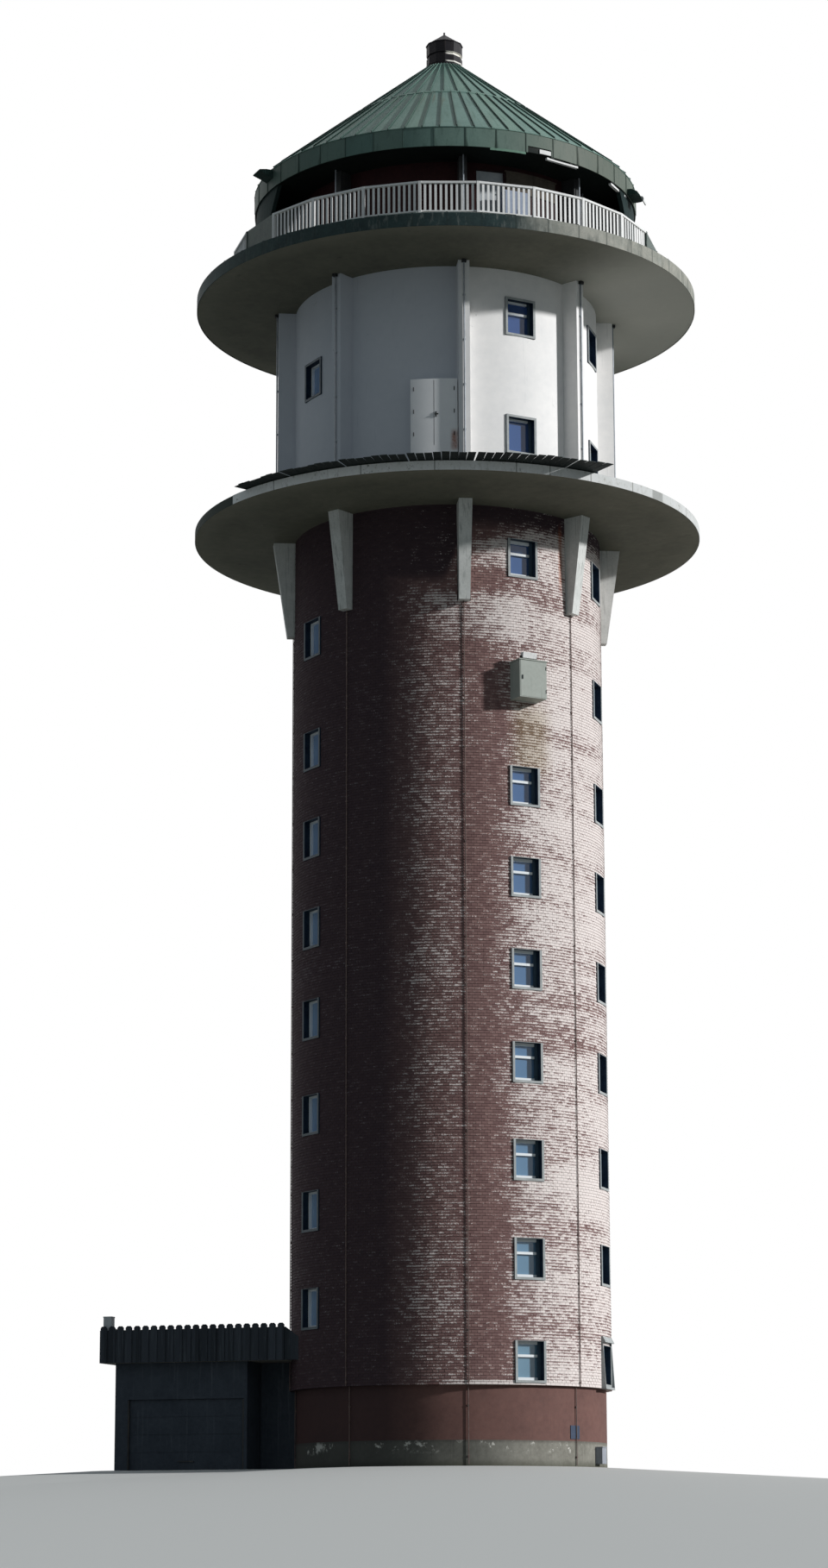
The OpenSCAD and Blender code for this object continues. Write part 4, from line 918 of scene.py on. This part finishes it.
def make_tiling():
    """Hangs one wedge-shaped tile on every point, turned away from the axis."""
    tree, given = geometry_tree("hung_tiles", [
        ("Tile width", "NodeSocketFloat", 0.08), ("Tile height", "NodeSocketFloat", 0.05),
        ("Butt thickness", "NodeSocketFloat", 0.006), ("Unevenness", "NodeSocketFloat", 0.02),
        ("Seed", "NodeSocketInt", 3), ("Finish", "NodeSocketMaterial", None)])
    bar = Value(add(tree, "GeometryNodeMeshCylinder", {"Vertices": 3, "Radius": 1.0, "Depth": 1.0}), "Mesh")
    x, y, z = parts_of(Value(add(tree, "GeometryNodeInputPosition")))
    # The three-sided bar becomes a tile: along Y, thick below and thin above
    top = x.calc("GREATER_THAN", 0.5)
    thick = (1.0 - top) * y.calc("GREATER_THAN", 0.5) * Value(given, "Butt thickness")
    shaped = joined(tree, thick, z * Value(given, "Tile width"), top * Value(given, "Tile height"))
    tile = Value(add(tree, "GeometryNodeSetPosition", {"Geometry": bar, "Position": shaped}))
    more = Value(given, "Unevenness")
    less = more * -1.0
    limits = {0: joined(tree, 0.0, less, less), 1: joined(tree, 0.0, 0.0, more),
              "Seed": Value(given, "Seed")}
    sway = Value(add(tree, "FunctionNodeRandomValue", limits, data_type="FLOAT_VECTOR"))
    place_copies(given, tile, sway)
    return tree


def make_fitting_row():
    """Puts one small bar on every point, turned away from the axis and tilted."""
    tree, given = geometry_tree("row_of_fittings", [
        ("Size", "NodeSocketVector", (0.1, 0.02, 0.02)), ("Tilt", "NodeSocketFloat", 0.0),
        ("Finish", "NodeSocketMaterial", None)])
    bar = add(tree, "GeometryNodeMeshCube", {"Size": Value(given, "Size")})
    place_copies(given, Value(bar, "Mesh"), joined(tree, 0.0, Value(given, "Tilt")))
    return tree


def made_plain(points, tree, values, name, slot, finish=None):
    """Runs a geometry tree on points and keeps the result as a plain mesh."""
    carrier = piece_of(name + "_points", points, [])
    modifier = carrier.modifiers.new(tree.name, "NODES")
    modifier.node_group = tree
    for item in tree.interface.items_tree:
        if item.item_type == "SOCKET" and item.in_out == "INPUT" and item.name in values:
            modifier[item.identifier] = values[item.name]
    bpy.context.view_layer.update()
    ready = carrier.evaluated_get(bpy.context.evaluated_depsgraph_get())
    mesh = bpy.data.meshes.new_from_object(ready)
    mesh.name = name
    bpy.data.objects.remove(carrier)
    keep(linked(name, mesh), slot, finish)


def hang_tiles():
    """Tiles of the shaft in four lifts, so that no mesh grows too large."""
    tree = make_tiling()
    spots = tile_spots()
    names = ("tiles_lowest_lift", "tiles_second_lift", "tiles_third_lift", "tiles_top_lift")
    count = len(spots)
    width = 2.0 * math.pi * SHAFT_R / TILES_ROUND
    for i, name in enumerate(names):
        part = spots[i * count // len(names):(i + 1) * count // len(names)]
        values = {"Tile width": width - TILE_LAP, "Tile height": TILE_ROW, "Butt thickness": TILE_BUTT,
                  "Unevenness": 0.035, "Seed": 11 + i, "Finish": FINISH["shingle"]}
        made_plain(part, tree, values, name, "shingle")


# Roof, gallery and discs

APRON_FOLDS = 48
APRON_FOLD_AZ = 1.9
FOLD_W = 0.014
FOLD_H = 0.010
RAILING_POSTS = 24
RAILING_POST_AZ = 10.0
FOOT_SIZE = (0.07, 0.09, 0.009)
BOLT_SIZE = (0.012, 0.016, 0.016)


def row_of(tree, points, size, tilt, name, slot, finish=None):
    """Small bars on points, as one plain piece."""
    values = {"Size": size, "Tilt": tilt, "Finish": FINISH[finish or slot]}
    made_plain(points, tree, values, name, slot, finish)


def ring_of(count, az_from, radius, z):
    """Equally spaced points round the tower."""
    return [around(az_from + i * (360.0 / count), radius, z) for i in range(count)]


def add_rows():
    """Folds of the apron, feet of the railing and bolts of the cabinet."""
    tree = make_fitting_row()
    apron_r = DISC_R + 0.008
    run, fall = apron_r - APRON_TOP_R, APRON_TOP - APRON_FOLD
    middle_r = (apron_r + APRON_TOP_R) / 2.0
    middle_z = (APRON_TOP + APRON_FOLD) / 2.0 + 0.002
    size = (math.hypot(run, fall) - 0.02, FOLD_W, FOLD_H)
    row_of(tree, ring_of(APRON_FOLDS, APRON_FOLD_AZ, middle_r, middle_z), size,
           math.atan2(fall, run), "apron_folds", "copper", "apron_copper")
    points = ring_of(RAILING_POSTS, RAILING_POST_AZ, RAILING_R, DECK_Z + FOOT_SIZE[2] / 2.0)
    row_of(tree, points, FOOT_SIZE, 0.0, "railing_feet", "white_paint")
    points = [around(5.8 + 1.9 * i, CABINET_R + 0.001, 14.33) for i in range(8)]
    row_of(tree, points, BOLT_SIZE, 0.0, "cabinet_bolts", "dark_steel")


def add_eave_lamps():
    """Two lamp strips below the ceiling and the switch box in the broken panel."""
    lamps = Blocks()
    for az_from, az_to in ((47.6, 59.2), (75.4, 87.0)):
        start, end = [around(azimuth, EAVE_R - 0.045, 19.304) for azimuth in (az_from, az_to)]
        lamps.beam(start, end, 0.046, 0.034)
        clip = (end - start) * 0.03
        for part in (0.2, 0.8):
            middle = start.lerp(end, part) + Vector((0.0, 0.0, 0.027))
            lamps.beam(middle - clip, middle + clip, 0.03, 0.02)
    lamps.arc(ring_section(EAVE_R - 0.0135, EAVE_R, 19.345, 19.412), 44.9, 48.7, 4)
    lamps.piece("eave_lamps", "white_paint", bevel=0.002)


def add_eave_lip():
    """Rest of the pale lower lip, left of the broken panel."""
    lip = Blocks()
    low, top = EAVE_LOW - 0.029, EAVE_LOW - 0.0005
    lip.arc([(2.984, low), (2.998, low - 0.008), (EAVE_R, top), (2.986, top)], 29.6, 40.4, 12)
    lip.piece("eave_lip", "copper")


def add_eave_spouts():
    """Spouts that stand out over the railing at both ends of the eave, one with a pale tip."""
    root = EAVE_R + 0.001
    spouts = Blocks()
    spouts.arc([(root, 19.480), (root, 19.622), (3.110, 19.618), (3.225, 19.596), (3.235, 19.575),
                (3.200, 19.562), (3.100, 19.525)], -50.0, -45.5, 4)
    spouts.arc([(root, 19.330), (root, 19.425), (3.070, 19.420), (3.160, 19.370), (3.170, 19.350),
                (3.140, 19.336), (3.080, 19.328)], 86.5, 93.5, 5)
    spouts.piece("eave_spouts", "copper_dark", "spout_sheet", bevel=0.004)
    tip = Blocks()
    tip.arc([(3.1705, 19.330), (3.1705, 19.348), (3.205, 19.340), (3.222, 19.305), (3.214, 19.262),
             (3.196, 19.262), (3.204, 19.305), (3.195, 19.325)], 89.5, 93.0, 3)
    tip.piece("eave_spout_tip", "white_paint", bevel=0.002)


def add_gallery_pieces():
    """Locker, wall panel and three pipes on the open side of the gallery."""
    locker = Blocks()
    turned = facing(41.5)
    face = 2.55
    locker.box((2.40, -0.200, DECK_Z + 0.001), (face, 0.200, 18.875), turned)
    for left, right in ((-0.188, -0.002), (0.002, 0.188)):
        locker.box((face + 0.0005, left, DECK_Z + 0.04), (face + 0.008, right, 18.862), turned)
    locker.box((face + 0.0085, 0.010, 18.50), (face + 0.016, 0.022, 18.58), turned)
    locker.piece("gallery_locker", "pale_door", "locker_paint", bevel=0.002)
    panel = Blocks()
    wall = SHAFT_R + 0.0005
    panel.arc(ring_section(wall, 2.362, 18.95, 19.25), 39.6, 62.0, 12)
    for low, high in ((18.93, 18.95), (19.25, 19.27)):
        panel.arc(ring_section(wall, 2.370, low, high), 39.0, 62.6, 12)
    panel.piece("gallery_wall_panel", "grey_sheet", "wall_panel")
    pipes = Blocks()
    for azimuth in (74.4, 77.6, 80.4):
        ends = [around(azimuth, 2.366, z) for z in (DECK_Z + 0.001, CEILING_Z - 0.001)]
        pipes.rod(*ends, 0.014)
    pipes.piece("gallery_pipes", "pipe_metal")


def add_cabinet_fittings():
    """Handle and hinges on the curved cabinet."""
    parts = Blocks()
    parts.arc(ring_section(CABINET_R + 0.0005, 2.562, 15.24, 15.32), 12.9, 13.3, 1)
    parts.arc(ring_section(2.562, 2.568, 15.27, 15.29), 12.7, 13.9, 2)
    for azimuth in (5.6, 19.2):
        for z in (14.95, 15.30, 15.65):
            parts.rod(*(around(azimuth, CABINET_R + 0.003, end) for end in (z, z + 0.06)), 0.007)
    parts.piece("cabinet_fittings", "dark_steel")


def add_pipe_ends():
    """Bent foot of every rainwater pipe, and its dark socket in the upper disc."""
    shoes, collars = Blocks(), Blocks()
    socket = ring_section(2.6225, 2.680, UPPER_LOW - 0.044, UPPER_LOW - 0.0004)
    for azimuth in BAY_LINES:
        shoes.rod(around(azimuth, PIPE_AT, 14.345), around(azimuth, PIPE_AT, 14.315), 0.0165)
        bend, mouth = around(azimuth, PIPE_AT - 0.004, 14.330), around(azimuth, PIPE_AT + 0.065, 14.272)
        shoes.rod(bend, mouth, 0.0145)
        collars.arc(socket, azimuth - 0.74, azimuth + 0.74, 2)
    shoes.piece("pipe_shoes", "pipe_metal")
    collars.piece("pipe_collars", "dark_steel", bevel=0.004)


# Shaft and base


def add_box_pieces():
    """Door leaf, hinges and latch of the plant box, and the lamp on its lid."""
    turned = facing(BOX_AZ)
    leaf = Blocks()
    leaf.box((BOX_FRONT_R + 0.0002, -0.210, 11.018), (2.6312, 0.210, 11.556), turned)
    leaf.piece("plant_box_door", "grey_sheet", "box_paint", bevel=0.0015)
    parts = Blocks()
    for z in (11.09, 11.44):
        parts.rod(*(turned @ Vector((2.633, 0.214, end)) for end in (z, z + 0.05)), 0.006)
    parts.box((2.6315, -0.190, 11.27), (2.641, -0.172, 11.33), turned)
    # Stirrup of the lamp, with its feet on the lid
    lid = 11.5775
    for left, right, top in ((0.088, 0.096, 11.668), (-0.165, -0.157, 11.640), (-0.157, 0.088, 11.5855)):
        parts.box((2.520, left, lid), (2.575, right, top), turned)
    parts.piece("plant_box_fittings", "dark_steel")
    lamp = Blocks()
    # Its top leans outwards over its foot
    foot = ((2.500, -0.152), (2.586, -0.152), (2.586, 0.083), (2.500, 0.083))
    corners = [Vector((x + lean, y, z)) for lean, z in ((0.0, 11.602), (0.02, 11.692)) for x, y in foot]
    lamp.put([turned @ corner for corner in corners], BOX_FACES)
    lamp.piece("plant_box_lamp", "white_paint", bevel=0.008)


def add_base_plaque():
    """Blank dark plate on the base band, right of the middle."""
    plate = Blocks()
    plate.arc(ring_section(BASE_R + 0.0005, BASE_R + 0.010, 0.385, 0.575), 64.4, 69.6, 6)
    plate.piece("base_plaque", "annex_board", "plaque_sheet", bevel=0.002)


def add_annex_fittings():
    """Guide rails and bottom handle of the wide annex door."""
    parts = Blocks()
    for x in (-4.588, -2.800):
        parts.box((x, -1.226, 0.004), (x + 0.018, -1.194, 1.010))
    parts.box((-3.80, -1.212, 0.115), (-3.56, -1.204, 0.131))
    for x in (-3.80, -3.572):
        parts.box((x, -1.204, 0.115), (x + 0.012, -1.1905, 0.131))
    parts.piece("annex_door_fittings", "dark_steel")


# Stage

FOCAL_PX = 4008.24
PHOTO_H = 1818
CAMERA_AZ = 16.5
CAMERA_DISTANCE = 51.37
CAMERA_Z = -1.067
CAMERA_PITCH = 0.2165
CAMERA_ROLL = -0.0030
CAMERA_YAW = -0.0101
GROUND_FALL = math.tan(math.radians(3.2))
FLOOR_REACH = 110.0
FLOOR_STEPS = 180
SUN_AZ = 94.0
SUN_RISE = 19.0
SUN_STRENGTH = 3.5
SUN_WIDTH = 3.0
SHADE_LEVEL = 0.21


def place_camera():
    """Camera at the place and angle from which the tower was seen."""
    data = bpy.data.cameras.new("camera")
    data.sensor_width = 36.0
    data.lens = FOCAL_PX * data.sensor_width / PHOTO_H
    data.clip_end = 400.0
    stand = Matrix.Translation(around(CAMERA_AZ, CAMERA_DISTANCE, CAMERA_Z))
    heading = Matrix.Rotation(math.radians(CAMERA_AZ) - CAMERA_YAW, 4, "Z")
    raised = Matrix.Rotation(math.pi / 2.0 + CAMERA_PITCH, 4, "X")
    rolled = Matrix.Rotation(CAMERA_ROLL, 4, "Z")
    camera = linked("camera", data)
    camera.matrix_world = stand @ heading @ raised @ rolled
    bpy.context.scene.camera = camera


def floor_point(azimuth, distance):
    """Point of the floor: level under the building, then falling away gently on all sides."""
    x, y, _ = around(azimuth, distance)
    tower = math.hypot(x, y) - 2.40
    annex = math.hypot(max(-4.95 - x, 0.0, x), max(abs(y) - 1.36, 0.0))
    return Vector((x, y, -GROUND_FALL * max(0.0, min(tower, annex)) - 0.002))


def make_floor():
    """Plain pale floor that falls away gently round the building."""
    steps = FLOOR_STEPS
    distances = [0.15 * i for i in range(1, 54)]
    while distances[-1] < FLOOR_REACH:
        distances.append(distances[-1] * 1.12)
    verts = [floor_point(0.0, 0.0)]
    for distance in distances:
        verts.extend(floor_point(360.0 * k / steps, distance) for k in range(steps))
    faces = [(0, 1 + k, 1 + (k + 1) % steps) for k in range(steps)]
    for ring in range(len(distances) - 1):
        a, b = 1 + ring * steps, 1 + (ring + 1) * steps
        faces.extend((a + k, b + k, b + (k + 1) % steps, a + (k + 1) % steps) for k in range(steps))
    floor = piece_of("floor", verts, faces)
    for polygon in floor.data.polygons:
        polygon.use_smooth = True
    paint = Paint("floor_finish", 0.9)
    # Pale to the camera, duller as a thrower of light
    seen = Value(add(paint.tree, "ShaderNodeLightPath"), "Is Camera Ray")
    paint.colour = blend(seen, (0.30, 0.31, 0.29, 1.0), (0.72, 0.72, 0.70, 1.0))
    floor.data.materials.append(paint.done())


def light_scene():
    """Even white surroundings and one large soft lamp low on the right."""
    world = bpy.data.worlds.new("surroundings")
    bpy.context.scene.world = world
    world.use_nodes = True
    tree = world.node_tree
    tree.nodes.clear()
    rays = add(tree, "ShaderNodeLightPath")
    seen = Value(rays, "Is Camera Ray").calc("MAXIMUM", Value(rays, "Is Glossy Ray"))
    seen = seen.calc("MAXIMUM", Value(rays, "Is Transmission Ray"))
    colour = blend(seen, (0.76, 0.90, 1.0, 1.0), (1.0, 1.0, 1.0, 1.0))
    strength = seen * (1.0 - SHADE_LEVEL) + SHADE_LEVEL
    back = add(tree, "ShaderNodeBackground", {"Color": colour, "Strength": strength})
    add(tree, "ShaderNodeOutputWorld", {0: Value(back)})
    data = bpy.data.lights.new("soft_key", "SUN")
    data.energy = SUN_STRENGTH
    data.angle = math.radians(SUN_WIDTH)
    towards = -around(SUN_AZ, 1.0, math.tan(math.radians(SUN_RISE)))
    linked("soft_key", data).rotation_euler = towards.to_track_quat("-Z", "Y").to_euler()


place_camera()
make_floor()
light_scene()
dress_nodes()
hang_tiles()
add_rows()
add_eave_lamps()
add_eave_lip()
add_eave_spouts()
add_gallery_pieces()
add_cabinet_fittings()
add_pipe_ends()
add_box_pieces()
add_base_plaque()
add_annex_fittings()

bpy.context.scene.view_settings.view_transform = "Standard"
